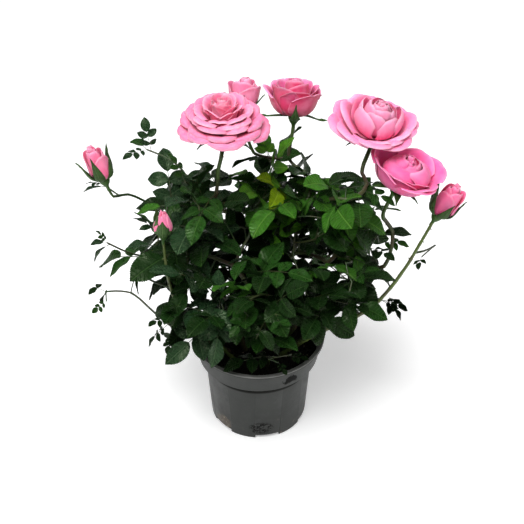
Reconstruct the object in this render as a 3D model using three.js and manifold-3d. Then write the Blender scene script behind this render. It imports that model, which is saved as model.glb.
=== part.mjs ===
// A pink patio rose in flower, growing in a 12 cm nursery pot of thin grey plastic.
// Units are millimetres and +Z is up. The origin is the centre of the pot's flat underside.
// The front of the plant is -Y, and +X is the right-hand side seen from the front.
// A bearing is an angle round the pot's axis in degrees: 0 is right, 90 back, 180 left, 270 front.

import * as THREE from 'three';
import { mergeVertices } from 'three/addons/utils/BufferGeometryUtils.js';
import Module from 'manifold-3d';

const wasm = await Module();
wasm.setup();

// ---- Driving dimensions ----

// The tapered wall steps out to a collar near the top, and the collar ends in a flat lip.
const pot = {
  rimRadius: 60,
  height: 91,
  footRadius: 43.8,
  footRound: 2,
  wall: 1.6,
  floor: 4.2,
  wallTopRadius: 48.4,
  stepHeight: 3.4,
  stepLedge: { reach: 3.2, rise: 1.2 },
  stepInsideFall: 1.4,
  collarHeight: 21.4,
  collarFootRadius: 54.2,
  lipHeight: 3,
  lipReach: 2.4,
  lipUnderside: 0.4,
  lipRound: 0.6,
  lipInsideFall: 0.8,
};
// Notches round the foot, each with a round hole through the floor just inside it.
const drains = {
  count: 6, bearing: 281, width: 22, reach: 12, height: 2.4, holeRadius: 4, holeInset: 6.5,
  holeSides: 10,
};
const soil = { height: 76, edgeHeight: 74.2, edgeReach: 0.8, flatRadius: 36 };
const gap = 0.4; // between neighbouring solids
const weldDistance = 0.001;
const roundSegments = 30;
const limb = { sides: 6, caneSteps: 5, archSteps: 9, stemSteps: 4 };
const rootDepth = 4; // from the top of the soil down to where a cane's curve starts
const stemEntry = 1; // how far a stem's curve runs on into its flower
const stemSwell = 1.15; // a stem's foot is thicker than its top by this much
const stemBend = 0.4; // the straight share of a stem, just under its flower
const massDetail = 2; // how often the faces of a mass's ball are split
const unevenness = 0.22; // the most that a mass's lobes stand out, as a share of its radius
// The waves that add up to a mass's lobes. Each has its share of the unevenness, how it turns
// along the mass's three axes, how far the mass's number shifts it, and where it starts.
const lobeWaves = [
  { share: 0.225, turns: [3.1, 2.7, 0], shift: 4, start: 0 },
  { share: 0.225, turns: [3.1, -2.7, 0], shift: 0.6, start: 0 },
  { share: 0.32, turns: [3.1, 0, 4.3], shift: 1, start: 0 },
  { share: 0.23, turns: [0, 5.9, -4.1], shift: 2.9, start: Math.PI / 2 },
];
const petalLobes = 5;
const petalLobeDepth = 0.045;
// A flower head's outline. Hip rows are in hip radii: reach, then height. Bowl rows are shares of
// the flower's radius and of the way from the hip's top to the rim, dome rows the same from the
// rim to the flower's top.
const flowerOutline = {
  hip: [[0.55, 0], [1, 0.9], [0.8, 2]],
  bowl: [[0.68, 0.35], [1, 1]],
  dome: [[0.86, 0.5], [0.42, 1]],
};

// Canes: each rises from a cutting rooted near the pot's middle and ends inside a foliage mass.
// foot is [bearing, reach] on the soil, radius [at the foot, at the tip], bow the outward swing.
const canes = [
  { name: 'cane_centre', foot: [60, 5], to: 'foliage_crest', radius: [2.9, 1.9], bow: 3 },
  { name: 'cane_left', foot: [172, 15], to: 'foliage_left', radius: [2.6, 1.6], bow: 12 },
  { name: 'cane_left_shoulder', foot: [215, 13], to: 'foliage_left_shoulder', radius: [2.5, 1.6], bow: 5 },
  { name: 'cane_right', foot: [5, 17], to: 'foliage_right', radius: [2.7, 1.7], bow: 12 },
  { name: 'cane_right_shoulder', foot: [325, 12], to: 'foliage_right_shoulder', radius: [2.5, 1.6],
    bow: 6 },
  { name: 'cane_low_left', foot: [200, 23], to: 'foliage_low_left', radius: [1.9, 1.3], bow: 7 },
  { name: 'cane_low_right', foot: [348, 25], to: 'foliage_low_right', radius: [2.0, 1.4], bow: 7 },
  { name: 'cane_front', foot: [275, 15], to: 'foliage_front', radius: [2.4, 1.5], bow: 8 },
  { name: 'cane_front_low', foot: [285, 28], to: 'foliage_front_low', radius: [1.5, 1.0], bow: 3 },
  { name: 'cane_back', foot: [95, 18], to: 'foliage_back', radius: [2.4, 1.5], bow: 10 },
  { name: 'cane_back_left', foot: [135, 18], to: 'foliage_back_left', radius: [2.3, 1.5], bow: 10 },
  { name: 'cane_back_right', foot: [42, 18], to: 'foliage_back_right', radius: [2.4, 1.5], bow: 10 },
];

// Two canes arch out past the foliage and carry a bud. They stay whole, and foliage is cut round them.
const archingCanes = [
  { name: 'cane_arch_right', foot: [322, 20], to: 'bud_right', radius: [2.2, 1.3],
    through: [[341, 62, 112], [349, 96, 131], [352, 120, 166], [354, 138, 208]] },
  { name: 'cane_arch_left', foot: [225, 27], to: 'bud_left', radius: [1.9, 1.1],
    through: [[219, 52, 112], [218, 71, 138], [213, 84, 172], [213, 88, 203]] },
];

// Flowers: base is [bearing, reach, height] of the place where the stem meets the flower, lean and
// leanBearing tip its axis from upright, and hip is the swollen part under the petals. rim is the
// height of the widest petals over the base, and height that of the flower's top.
const flowers = [
  { name: 'flower_left', base: [210, 31, 298], lean: 3, leanBearing: 275, radius: 34.5, rim: 18,
    height: 38, hip: 4.6, from: 'foliage_left_shoulder', stem: 1.7 },
  { name: 'flower_left_back', base: [108, 38, 291], lean: 12, leanBearing: 80, radius: 14.5, rim: 22,
    height: 33, hip: 4.2, from: 'foliage_crest', stem: 1.4 },
  { name: 'flower_middle', base: [44, 40, 289], lean: 14, leanBearing: 80, radius: 22.5, rim: 27,
    height: 37, hip: 4.6, from: 'foliage_crest', stem: 1.6 },
  { name: 'flower_right', base: [6, 93, 286], lean: 14, leanBearing: 330, radius: 36, rim: 19,
    height: 38, hip: 4.8, from: 'foliage_right_shoulder', stem: 1.8 },
  { name: 'flower_right_low', base: [349, 109, 254], lean: 15, leanBearing: 345, radius: 31, rim: 23,
    height: 42, hip: 5, from: 'foliage_right', stem: 1.8 },
  { name: 'bud_right', base: [355, 144, 222], lean: 24, leanBearing: 350, radius: 12.5, rim: 22,
    height: 40, hip: 5, stem: 1.3 },
  { name: 'bud_far_left', base: [182, 122, 251], lean: 16, leanBearing: 180, radius: 10, rim: 17,
    height: 38, hip: 4.4, from: 'foliage_bud_left', stem: 1.2 },
  { name: 'bud_left', base: [213, 89, 229], lean: 3, leanBearing: 0, radius: 8.3, rim: 10,
    height: 27, hip: 4, stem: 1.2 },
];

// Foliage masses: uneven lobes of leaves, each with its middle at [bearing, reach, height] and its
// half sizes [outward, sideways, upright].
const foliage = [
  { name: 'foliage_core', middle: [0, 0, 168], size: [54, 50, 50] },
  { name: 'foliage_crest', middle: [30, 20, 238], size: [46, 46, 38] },
  { name: 'foliage_left_shoulder', middle: [204, 52, 240], size: [38, 40, 35] },
  { name: 'foliage_right_shoulder', middle: [341, 74, 249], size: [31, 33, 29] },
  { name: 'foliage_upper_left', middle: [165, 84, 261], size: [27, 20, 27] },
  { name: 'foliage_bud_left', middle: [172, 123, 226], size: [18, 17, 28] },
  { name: 'foliage_left', middle: [183, 80, 186], size: [42, 46, 40] },
  { name: 'foliage_left_outer', middle: [180, 114, 185], size: [25, 25, 22] },
  { name: 'foliage_left_tip', middle: [184, 121, 143], size: [26, 20, 13] },
  { name: 'foliage_low_left', middle: [199, 78, 124], size: [29, 29, 21] },
  { name: 'foliage_right', middle: [0, 84, 190], size: [42, 46, 44] },
  { name: 'foliage_right_outer', middle: [2, 139, 183], size: [33, 26, 25] },
  { name: 'foliage_low_right', middle: [2, 90, 132], size: [37, 35, 25] },
  { name: 'foliage_front', middle: [273, 76, 188], size: [36, 44, 40] },
  { name: 'foliage_front_left', middle: [229, 80, 172], size: [36, 36, 38] },
  { name: 'foliage_front_right', middle: [315, 84, 180], size: [38, 38, 40] },
  { name: 'foliage_front_low', middle: [282, 53, 112], size: [17, 32, 14] },
  { name: 'foliage_back', middle: [88, 78, 165], size: [42, 48, 42] },
  { name: 'foliage_back_left', middle: [137, 86, 176], size: [40, 40, 42] },
  { name: 'foliage_back_right', middle: [42, 88, 172], size: [40, 40, 42] },
];

// ---- Materials ----

const material = (color, roughness) =>
  new THREE.MeshStandardMaterial({ color, roughness, metalness: 0 });
const materials = {
  potPlastic: material('#474946', 0.45),
  soilPeat: material('#120d09', 0.95),
  caneBark: material('#3d5224', 0.7),
  stemGreen: material('#4f7427', 0.6),
  leaf: material('#2b4d24', 0.5),
  petal: material('#f48fb8', 0.7),
};

// ---- Helpers ----

const up = new THREE.Vector3(0, 0, 1);
const radians = THREE.MathUtils.degToRad;

const polar = ([bearing, reach, height = 0]) =>
  new THREE.Vector3(reach * Math.cos(radians(bearing)), reach * Math.sin(radians(bearing)), height);

// A closed geometry as a manifold-3d solid.
function solidOf(geometry) {
  const bare = geometry.clone();
  for (const attribute of ['normal', 'uv']) bare.deleteAttribute(attribute);
  const merged = mergeVertices(bare, weldDistance);
  return new wasm.Manifold(new wasm.Mesh({
    numProp: 3,
    vertProperties: merged.attributes.position.array,
    triVerts: new Uint32Array(merged.index.array),
  }));
}

// The one piece of a cut solid that scores highest.
function bestPiece(solid, score) {
  return solid.decompose().reduce((best, piece) => (score(piece) > score(best) ? piece : best));
}

// A named mesh of a solid, whose own origin is at the given place.
function meshOf(name, solid, finish, place = new THREE.Vector3()) {
  const { vertProperties, triVerts } = solid.getMesh();
  const geometry = new THREE.BufferGeometry();
  geometry.setAttribute('position', new THREE.BufferAttribute(vertProperties, 3));
  geometry.setIndex(new THREE.BufferAttribute(triVerts, 1));
  geometry.translate(-place.x, -place.y, -place.z);
  geometry.computeVertexNormals();
  const mesh = new THREE.Mesh(geometry, finish);
  mesh.name = name;
  mesh.position.copy(place);
  return mesh;
}

// A solid of revolution about Z, from [radius, height] pairs that start and end on the axis.
function turned(profile, segments = roundSegments) {
  const points = profile.map(([radius, height]) => new THREE.Vector2(radius, height));
  return new THREE.LatheGeometry(points, segments).rotateX(Math.PI / 2);
}

// ---- Pot and soil ----

function potSolid() {
  const collarFoot = pot.height - pot.collarHeight;
  const lipFoot = pot.height - pot.lipHeight;
  const neck = pot.rimRadius - pot.lipReach;
  const step = collarFoot - pot.stepHeight;
  let solid = solidOf(turned([
    [0, 0],
    [pot.footRadius - pot.footRound, 0],
    [pot.footRadius, pot.footRound],
    [pot.wallTopRadius, step],
    [pot.wallTopRadius + pot.stepLedge.reach, step + pot.stepLedge.rise],
    [pot.collarFootRadius, collarFoot],
    [neck, lipFoot],
    [pot.rimRadius, lipFoot + pot.lipUnderside],
    [pot.rimRadius, pot.height - pot.lipRound],
    [pot.rimRadius - pot.lipRound, pot.height],
    [neck - pot.wall, pot.height - pot.lipInsideFall],
    [pot.collarFootRadius - pot.wall, collarFoot],
    [pot.wallTopRadius - pot.wall, step - pot.stepInsideFall],
    [pot.footRadius - pot.wall, pot.floor],
    [0, pot.floor],
  ]));
  const { holeRadius } = drains;
  for (let i = 0; i < drains.count; i += 1) {
    const bearing = radians(drains.bearing + (360 * i) / drains.count);
    const notch = new THREE.BoxGeometry(2 * drains.reach, drains.width, 2 * drains.height);
    notch.translate(pot.footRadius, 0, 0).rotateZ(bearing);
    const hole = new THREE.CylinderGeometry(
      holeRadius,
      holeRadius,
      4 * pot.floor,
      drains.holeSides,
    );
    hole.rotateX(Math.PI / 2).translate(pot.footRadius - drains.holeInset, 0, 0).rotateZ(bearing);
    solid = solid.subtract(solidOf(notch)).subtract(solidOf(hole));
  }
  return solid;
}

// The root ball fills the pot to its shape, and its top falls a little towards the wall.
function soilSolid() {
  const inset = pot.wall + gap;
  const collarFoot = pot.height - pot.collarHeight;
  const step = collarFoot - pot.stepHeight;
  return solidOf(turned([
    [0, pot.floor + gap],
    [pot.footRadius - inset, pot.floor + gap],
    [pot.wallTopRadius - inset, step - pot.stepInsideFall],
    [pot.collarFootRadius - inset, collarFoot],
    [pot.collarFootRadius - inset + soil.edgeReach, soil.edgeHeight],
    [soil.flatRadius, soil.height],
    [0, soil.height],
  ]));
}

// ---- Foliage masses ----

// A lobed ellipsoid with its long axis outwards. grow moves its whole surface out by that much.
function lobedSolid({ middle, size, seed }, grow = 0) {
  const geometry = new THREE.IcosahedronGeometry(1, massDetail);
  const position = geometry.attributes.position;
  const ray = new THREE.Vector3();
  for (let i = 0; i < position.count; i += 1) {
    ray.fromBufferAttribute(position, i).normalize();
    const lobes = lobeWaves.map(({ share, turns, shift, start }) => (
      share * Math.sin(ray.dot(new THREE.Vector3(...turns)) + shift * seed + start)
    ));
    const swell = 1 + unevenness * lobes.reduce((sum, lobe) => sum + lobe);
    position.setXYZ(
      i,
      ray.x * (size[0] * swell + grow),
      ray.y * (size[1] * swell + grow),
      ray.z * (size[2] * swell + grow),
    );
  }
  const place = polar(middle);
  geometry.rotateZ(radians(middle[0])).translate(place.x, place.y, place.z);
  return solidOf(geometry);
}

// How far an ellipsoid of foliage reaches along a direction.
function reachAlong({ middle, size }, direction) {
  const local = direction.clone().applyAxisAngle(up, -radians(middle[0]));
  return Math.hypot(local.x * size[0], local.y * size[1], local.z * size[2]);
}

// Two masses that meet are parted by a flat cut between them, nearer to the smaller one.
function partFrom(solid, mass, other) {
  const across = polar(other.middle).sub(polar(mass.middle));
  const distance = across.length();
  const direction = across.divideScalar(distance);
  const own = reachAlong(mass, direction);
  const theirs = reachAlong(other, direction);
  if (distance > (1 + unevenness) * (own + theirs)) return solid;
  const cut = (distance * own) / (own + theirs) - gap / 2;
  const offset = polar(mass.middle).dot(direction) + cut;
  return solid.trimByPlane(direction.clone().negate().toArray(), -offset);
}

foliage.forEach((mass, index) => {
  mass.seed = index + 1;
});
const foliageByName = new Map(foliage.map((mass) => [mass.name, mass]));
const grownFoliage = wasm.Manifold.union(foliage.map((mass) => lobedSolid(mass, gap)));

// ---- Flowers ----

const leanAxis = (flower) =>
  polar([flower.leanBearing, Math.sin(radians(flower.lean)), Math.cos(radians(flower.lean))]);

// A flower head: a round hip, then petals that widen to the rim and close in to a rounded top.
function flowerSolid(flower, grow = 0) {
  const { radius, rim, height, hip } = flower;
  const hipTop = hip * flowerOutline.hip.at(-1)[1];
  const rows = [
    ...flowerOutline.hip.map(([reach, rise]) => [hip * reach, hip * rise]),
    ...flowerOutline.bowl.map(([reach, rise]) => [radius * reach, hipTop + (rim - hipTop) * rise]),
    ...flowerOutline.dome.map(([reach, rise]) => [radius * reach, rim + (height - rim) * rise]),
  ];
  const outside = rows.map(([reach, z]) => [reach + grow, z + grow * Math.sign(z - rim)]);
  const geometry = turned([[0, -grow], ...outside, [0, height + grow]], 3 * petalLobes);
  const position = geometry.attributes.position;
  for (let i = 0; i < position.count; i += 1) {
    const x = position.getX(i);
    const y = position.getY(i);
    const share = THREE.MathUtils.smoothstep(position.getZ(i), hipTop, rim);
    const lobe = 1 + share * petalLobeDepth * Math.cos(petalLobes * Math.atan2(y, x));
    position.setXY(i, x * lobe, y * lobe);
  }
  const turn = new THREE.Quaternion().setFromUnitVectors(up, leanAxis(flower).normalize());
  const base = polar(flower.base);
  geometry.applyQuaternion(turn).translate(base.x, base.y, base.z);
  return solidOf(geometry);
}

const flowersByName = new Map(flowers.map((flower) => [flower.name, flower]));
const grownFlowers = wasm.Manifold.union(flowers.map((flower) => flowerSolid(flower, gap)));

// ---- Canes and flower stems ----

// A round limb along a curve, tapering evenly from its foot to its tip.
function limbSolid(curve, [footRadius, tipRadius], steps) {
  const geometry = new THREE.CylinderGeometry(tipRadius, footRadius, 1, limb.sides, steps);
  const frames = curve.computeFrenetFrames(steps);
  const position = geometry.attributes.position;
  const point = new THREE.Vector3();
  for (let i = 0; i < position.count; i += 1) {
    const along = THREE.MathUtils.clamp(position.getY(i) + 0.5, 0, 1);
    const ring = Math.round(along * steps);
    point.copy(curve.getPointAt(ring / steps))
      .addScaledVector(frames.binormals[ring], position.getX(i))
      .addScaledVector(frames.normals[ring], position.getZ(i));
    position.setXYZ(i, point.x, point.y, point.z);
  }
  return solidOf(geometry);
}

// From a flat cut at soil level, bowing outwards, to the middle of a foliage mass.
function caneSolid(cane) {
  const foot = polar([...cane.foot, soil.height - rootDepth]);
  const tip = polar(foliageByName.get(cane.to).middle);
  const half = foot.clone().lerp(tip, 0.5);
  half.addScaledVector(new THREE.Vector3(tip.x, tip.y, 0).normalize(), cane.bow);
  half.z += cane.bow;
  const curve = new THREE.QuadraticBezierCurve3(foot, half, tip);
  const whole = limbSolid(curve, cane.radius, limb.caneSteps).trimByPlane([0, 0, 1], soil.height + gap);
  return bestPiece(whole.subtract(grownFoliage), (piece) => -piece.boundingBox().min[2]);
}

// From a flat cut at soil level, round the outside of the foliage, to the flower it carries.
function archingCaneSolid(cane) {
  const flower = flowersByName.get(cane.to);
  const curve = new THREE.CatmullRomCurve3([
    polar([...cane.foot, soil.height - rootDepth]),
    ...cane.through.map(polar),
    polar(flower.base).addScaledVector(leanAxis(flower), stemEntry),
  ]);
  const whole = limbSolid(curve, cane.radius, limb.archSteps).trimByPlane([0, 0, 1], soil.height + gap);
  return bestPiece(whole.subtract(grownFlowers), (piece) => piece.volume());
}

// From a foliage mass up to the flower, leaving the flower along its axis.
function stemSolid(flower) {
  const base = polar(flower.base);
  const middle = polar(foliageByName.get(flower.from).middle);
  const bend = base.clone().addScaledVector(leanAxis(flower), -stemBend * base.distanceTo(middle));
  const end = base.clone().addScaledVector(leanAxis(flower), stemEntry);
  const curve = new THREE.QuadraticBezierCurve3(middle, bend, end);
  const whole = limbSolid(curve, [flower.stem * stemSwell, flower.stem], limb.stemSteps);
  const clear = whole.subtract(grownFoliage).subtract(grownFlowers);
  return bestPiece(clear, (piece) => piece.boundingBox().max[2]);
}

// ---- Assembly ----

const plant = new THREE.Group();
plant.add(meshOf('pot', potSolid(), materials.potPlastic));
plant.add(meshOf('soil', soilSolid(), materials.soilPeat));

for (const cane of canes) {
  const foot = polar([...cane.foot, soil.height]);
  plant.add(meshOf(cane.name, caneSolid(cane), materials.caneBark, foot));
}

const archingSolids = archingCanes.map(archingCaneSolid);
archingCanes.forEach((cane, index) => {
  const foot = polar([...cane.foot, soil.height]);
  plant.add(meshOf(cane.name, archingSolids[index], materials.caneBark, foot));
});

// Each arching cane again, a little fatter, to cut its way through the foliage.
const caneClearance = wasm.Manifold.union(archingCanes.map((cane) => {
  const radius = cane.radius.map((value) => value + gap);
  return archingCaneSolid({ ...cane, radius });
}));

flowers.forEach((flower, index) => {
  let solid = flowerSolid(flower);
  for (const earlier of flowers.slice(0, index)) {
    solid = solid.subtract(flowerSolid(earlier, gap));
  }
  const whole = bestPiece(solid, (piece) => piece.volume());
  plant.add(meshOf(flower.name, whole, materials.petal, polar(flower.base)));
  if (flower.from) {
    const name = flower.name.replace('flower', 'stem').replace('bud', 'stem_bud');
    plant.add(meshOf(name, stemSolid(flower), materials.stemGreen, polar(flower.base)));
  }
});

for (const mass of foliage) {
  let solid = lobedSolid(mass);
  for (const other of foliage) {
    if (other !== mass) solid = partFrom(solid, mass, other);
  }
  solid = solid.subtract(grownFlowers).subtract(caneClearance);
  const whole = bestPiece(solid, (piece) => piece.volume());
  plant.add(meshOf(mass.name, whole, materials.leaf, polar(mass.middle)));
}

export default plant;
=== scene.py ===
"""A pink patio rose in flower, in a grey plastic nursery pot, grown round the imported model.

Shapes are worked out in millimetres with numpy, and become metres when a mesh is made.
The canes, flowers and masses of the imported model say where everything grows.
"""

import math
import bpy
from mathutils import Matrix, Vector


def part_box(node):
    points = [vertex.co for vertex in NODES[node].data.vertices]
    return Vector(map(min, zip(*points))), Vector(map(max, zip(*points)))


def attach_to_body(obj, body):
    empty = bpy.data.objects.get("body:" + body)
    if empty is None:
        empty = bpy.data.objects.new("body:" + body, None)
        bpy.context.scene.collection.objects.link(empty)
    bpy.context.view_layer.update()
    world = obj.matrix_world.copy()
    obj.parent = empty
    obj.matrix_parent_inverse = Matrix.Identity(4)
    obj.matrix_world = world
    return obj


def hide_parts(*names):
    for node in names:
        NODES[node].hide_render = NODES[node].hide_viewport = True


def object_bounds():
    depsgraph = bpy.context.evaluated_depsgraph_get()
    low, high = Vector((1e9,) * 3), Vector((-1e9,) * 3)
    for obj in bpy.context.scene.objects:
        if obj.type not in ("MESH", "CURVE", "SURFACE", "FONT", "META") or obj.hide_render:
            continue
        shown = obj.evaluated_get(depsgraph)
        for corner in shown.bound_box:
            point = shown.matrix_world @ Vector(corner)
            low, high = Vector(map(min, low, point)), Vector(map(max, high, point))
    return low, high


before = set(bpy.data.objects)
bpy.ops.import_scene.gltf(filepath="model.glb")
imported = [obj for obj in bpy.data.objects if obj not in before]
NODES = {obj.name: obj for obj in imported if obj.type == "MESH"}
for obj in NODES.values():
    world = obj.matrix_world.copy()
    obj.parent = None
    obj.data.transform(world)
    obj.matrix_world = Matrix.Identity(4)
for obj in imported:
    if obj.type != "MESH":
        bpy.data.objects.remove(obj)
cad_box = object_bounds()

import zlib

import bmesh
import bpy
import numpy as np
from mathutils import Vector
from mathutils.bvhtree import BVHTree

MM = 0.001
UP = np.array([0.0, 0.0, 1.0])
GOLDEN_ANGLE = math.radians(137.508)
# Sepals stand two fifths of a turn apart, in the order in which they grew.
SEPAL_ANGLE = math.radians(144)
SHARP_ANGLE = math.radians(80)
ATLAS_CELLS = 4
CELL_MARGIN = 0.04
MASSES = sorted(name for name in NODES if name.startswith("foliage_"))
FLOWERS = sorted(name for name in NODES if name.startswith(("flower_", "bud_")))
CANES = sorted(name for name in NODES if name.startswith("cane_"))
STEMS = sorted(name for name in NODES if name.startswith("stem_"))


# ---- Small helpers ----


def unit(vector):
    vector = np.asarray(vector, float)
    length = np.linalg.norm(vector, axis=-1, keepdims=True)
    return vector / np.maximum(length, 1e-9)


def smooth(low, high, value):
    share = np.clip((np.asarray(value, float) - low) / (high - low), 0, 1)
    return share * share * (3 - 2 * share)


def random_for(name):
    return np.random.default_rng(zlib.crc32(name.encode()))


def turned(vector, axis, angle):
    """A vector turned about an axis, by Rodrigues' formula."""
    axis = unit(axis)
    across = np.cross(axis, vector)
    along = axis * np.sum(axis * vector, axis=-1, keepdims=True)
    return vector * math.cos(angle) + across * math.sin(angle) + along * (1 - math.cos(angle))


def across_to(vector, normal):
    """The part of a vector that lies across a unit normal, made a unit vector."""
    vector = np.asarray(vector, float)
    return unit(vector - normal * np.sum(vector * normal, axis=-1, keepdims=True))


def corners(name):
    low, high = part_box(name)
    return np.array(low) / MM, np.array(high) / MM


def read(things, what, width, kind=float):
    """A property of a mesh's parts as an array with one row for each."""
    flat = np.empty(len(things) * width, kind)
    things.foreach_get(what, flat)
    return flat.reshape(-1, width)


def coordinates(name):
    return read(NODES[name].data.vertices, "co", 3) / MM


class Solid:
    """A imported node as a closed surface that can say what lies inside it."""

    def __init__(self, name):
        self.name = name
        self.verts = coordinates(name)
        mesh = NODES[name].data
        mesh.calc_loop_triangles()
        self.tris = read(mesh.loop_triangles, "vertices", 3, int)
        self.low, self.high = self.verts.min(0), self.verts.max(0)
        self.tree = BVHTree.FromPolygons(self.verts.tolist(), self.tris.tolist())

    def depth(self, point):
        """How far a point is under the surface, negative outside."""
        nearest, normal, _, distance = self.tree.find_nearest(Vector(point))
        inside = (Vector(point) - nearest).dot(normal) < 0
        return distance if inside else -distance

    def centroid(self):
        a, b, c = (self.verts[self.tris[:, i]] for i in range(3))
        volumes = np.sum(a * np.cross(b, c), axis=1)
        return (volumes[:, None] * (a + b + c) / 4).sum(0) / volumes.sum()


def centre_line(name, levels=12):
    """The middle points and radii of a limb, from its foot up, by level cuts through its solid."""
    verts = coordinates(name)
    ends = verts[read(NODES[name].data.edges, "vertices", 2, int)]
    low, high = verts[:, 2].min(), verts[:, 2].max()
    middles, radii = [], []
    for level in np.linspace(low + 0.1, high - 0.06 * (high - low), levels):
        above = ends[:, :, 2] > level
        cut = ends[above[:, 0] != above[:, 1]]
        share = (level - cut[:, 0, 2]) / (cut[:, 1, 2] - cut[:, 0, 2])
        points = cut[:, 0] + share[:, None] * (cut[:, 1] - cut[:, 0])
        middles.append((points.min(0) + points.max(0)) / 2)
        spread = np.linalg.eigvalsh(np.cov(points[:, :2].T))
        radii.append(math.sqrt(2 * max(spread[0], 0.02)))
    middles.append(verts[verts[:, 2] > high - 1.2].mean(0))
    radii.append(radii[-1])
    return np.array(middles), np.array(radii)


# ---- Meshes from arrays ----


class Soup:
    """Vertices, faces, UVs and material numbers of many small shapes that become one mesh."""

    def __init__(self):
        self.verts, self.uvs, self.faces, self.size = [], [], [], 0

    def add(self, verts, faces, uv=None):
        """faces is a list of (index array with 3 or 4 columns, material number)."""
        self.verts.append(np.asarray(verts, float))
        self.uvs.append(np.zeros((len(verts), 2)) if uv is None else uv)
        self.faces += [(array + self.size, material) for array, material in faces]
        self.size += len(verts)

    def piece(self, name, slot, materials, nodes=(), has_uv=False):
        """Makes the mesh object that rides on the plant and stands for the given nodes."""
        loops = np.concatenate([array.ravel() for array, _ in self.faces])
        counts = np.concatenate([np.full(len(a), a.shape[1]) for a, _ in self.faces])
        numbers = np.concatenate([np.full(len(a), number) for a, number in self.faces])
        mesh = bpy.data.meshes.new(name)
        mesh.vertices.add(self.size)
        mesh.vertices.foreach_set("co", (np.concatenate(self.verts) * MM).ravel())
        mesh.loops.add(len(loops))
        mesh.loops.foreach_set("vertex_index", loops)
        mesh.polygons.add(len(counts))
        mesh.polygons.foreach_set("loop_start", np.cumsum(counts) - counts)
        mesh.polygons.foreach_set("material_index", numbers)
        if has_uv:
            layer = mesh.uv_layers.new(name="OFBake")
            layer.data.foreach_set("uv", np.concatenate(self.uvs)[loops].ravel())
        for material in materials:
            mesh.materials.append(material)
        mesh.update(calc_edges=True)
        mesh.validate()
        mesh.shade_smooth()
        mesh.set_sharp_from_angle(angle=SHARP_ANGLE)
        thing = bpy.data.objects.new(name, mesh)
        bpy.context.scene.collection.objects.link(thing)
        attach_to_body(thing, "root")
        if nodes:
            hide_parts(*nodes)
        return thing


def ring_faces(count, sides):
    """Faces of a closed stack of rings, whose vertices are followed by its two end points."""
    ring, spoke = np.meshgrid(np.arange(count - 1), np.arange(sides), indexing="ij")
    here = (ring * sides + spoke).ravel()
    beside = (ring * sides + (spoke + 1) % sides).ravel()
    walls = np.stack([here, beside, beside + sides, here + sides], axis=1)
    j = np.arange(sides)
    foot = np.stack([np.full(sides, count * sides), (j + 1) % sides, j], axis=1)
    last = (count - 1) * sides
    tip = np.stack([np.full(sides, count * sides + 1), last + j, last + (j + 1) % sides], axis=1)
    return [(walls, 0), (foot, 0), (tip, 0)]


def tube(soup, points, radii, sides, relief=0.0, rng=None):
    """Adds a closed round limb along points, with its radius at each, and bark relief."""
    points, radii = np.asarray(points, float), np.asarray(radii, float)
    count = len(points)
    tangents = unit(np.gradient(points, axis=0))
    side = across_to(np.array([0.31, 0.87, 0.39]), tangents[0])
    rings = np.empty((count, sides, 3))
    angles = 2 * math.pi * np.arange(sides) / sides
    for i in range(count):
        side = across_to(side, tangents[i])
        other = np.cross(tangents[i], side)
        swell = 1 if rng is None else 1 + relief * rng.standard_normal(sides)
        reach = (radii[i] * swell * np.ones(sides))[:, None]
        ring = np.cos(angles)[:, None] * side + np.sin(angles)[:, None] * other
        rings[i] = points[i] + reach * ring
    verts = np.concatenate([rings.reshape(-1, 3), points[:1], points[-1:]])
    soup.add(verts, ring_faces(count, sides))


def grid_faces(rows, columns):
    """Faces of a closed thin sheet: an upper grid, and an under grid that shares its border."""
    upper = np.arange(rows * columns).reshape(rows, columns)
    under = upper.copy()
    inner = (rows - 2) * (columns - 2)
    under[1:-1, 1:-1] = rows * columns + np.arange(inner).reshape(rows - 2, columns - 2)

    def quads(index):
        return np.stack([index[:-1, :-1], index[1:, :-1], index[1:, 1:], index[:-1, 1:]], -1)

    return quads(upper).reshape(-1, 4), quads(under).reshape(-1, 4)[:, ::-1]


def sheet_verts(grid, thickness):
    """The vertices of such a sheet, from its upper grid of points."""
    along = np.gradient(grid, axis=0)
    across = np.gradient(grid, axis=1)
    normal = unit(np.cross(along, across))
    under = (grid - normal * thickness)[1:-1, 1:-1]
    return np.concatenate([grid.reshape(-1, 3), under.reshape(-1, 3)])


def atlas(local, cell):
    """Local UVs inside one cell of a square atlas of cells."""
    place = np.stack([cell % ATLAS_CELLS, cell // ATLAS_CELLS], -1)
    inner = 1 - 2 * CELL_MARGIN
    return (place + CELL_MARGIN + inner * np.clip(local, 0, 1)) / ATLAS_CELLS


# ---- Materials ----


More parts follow.
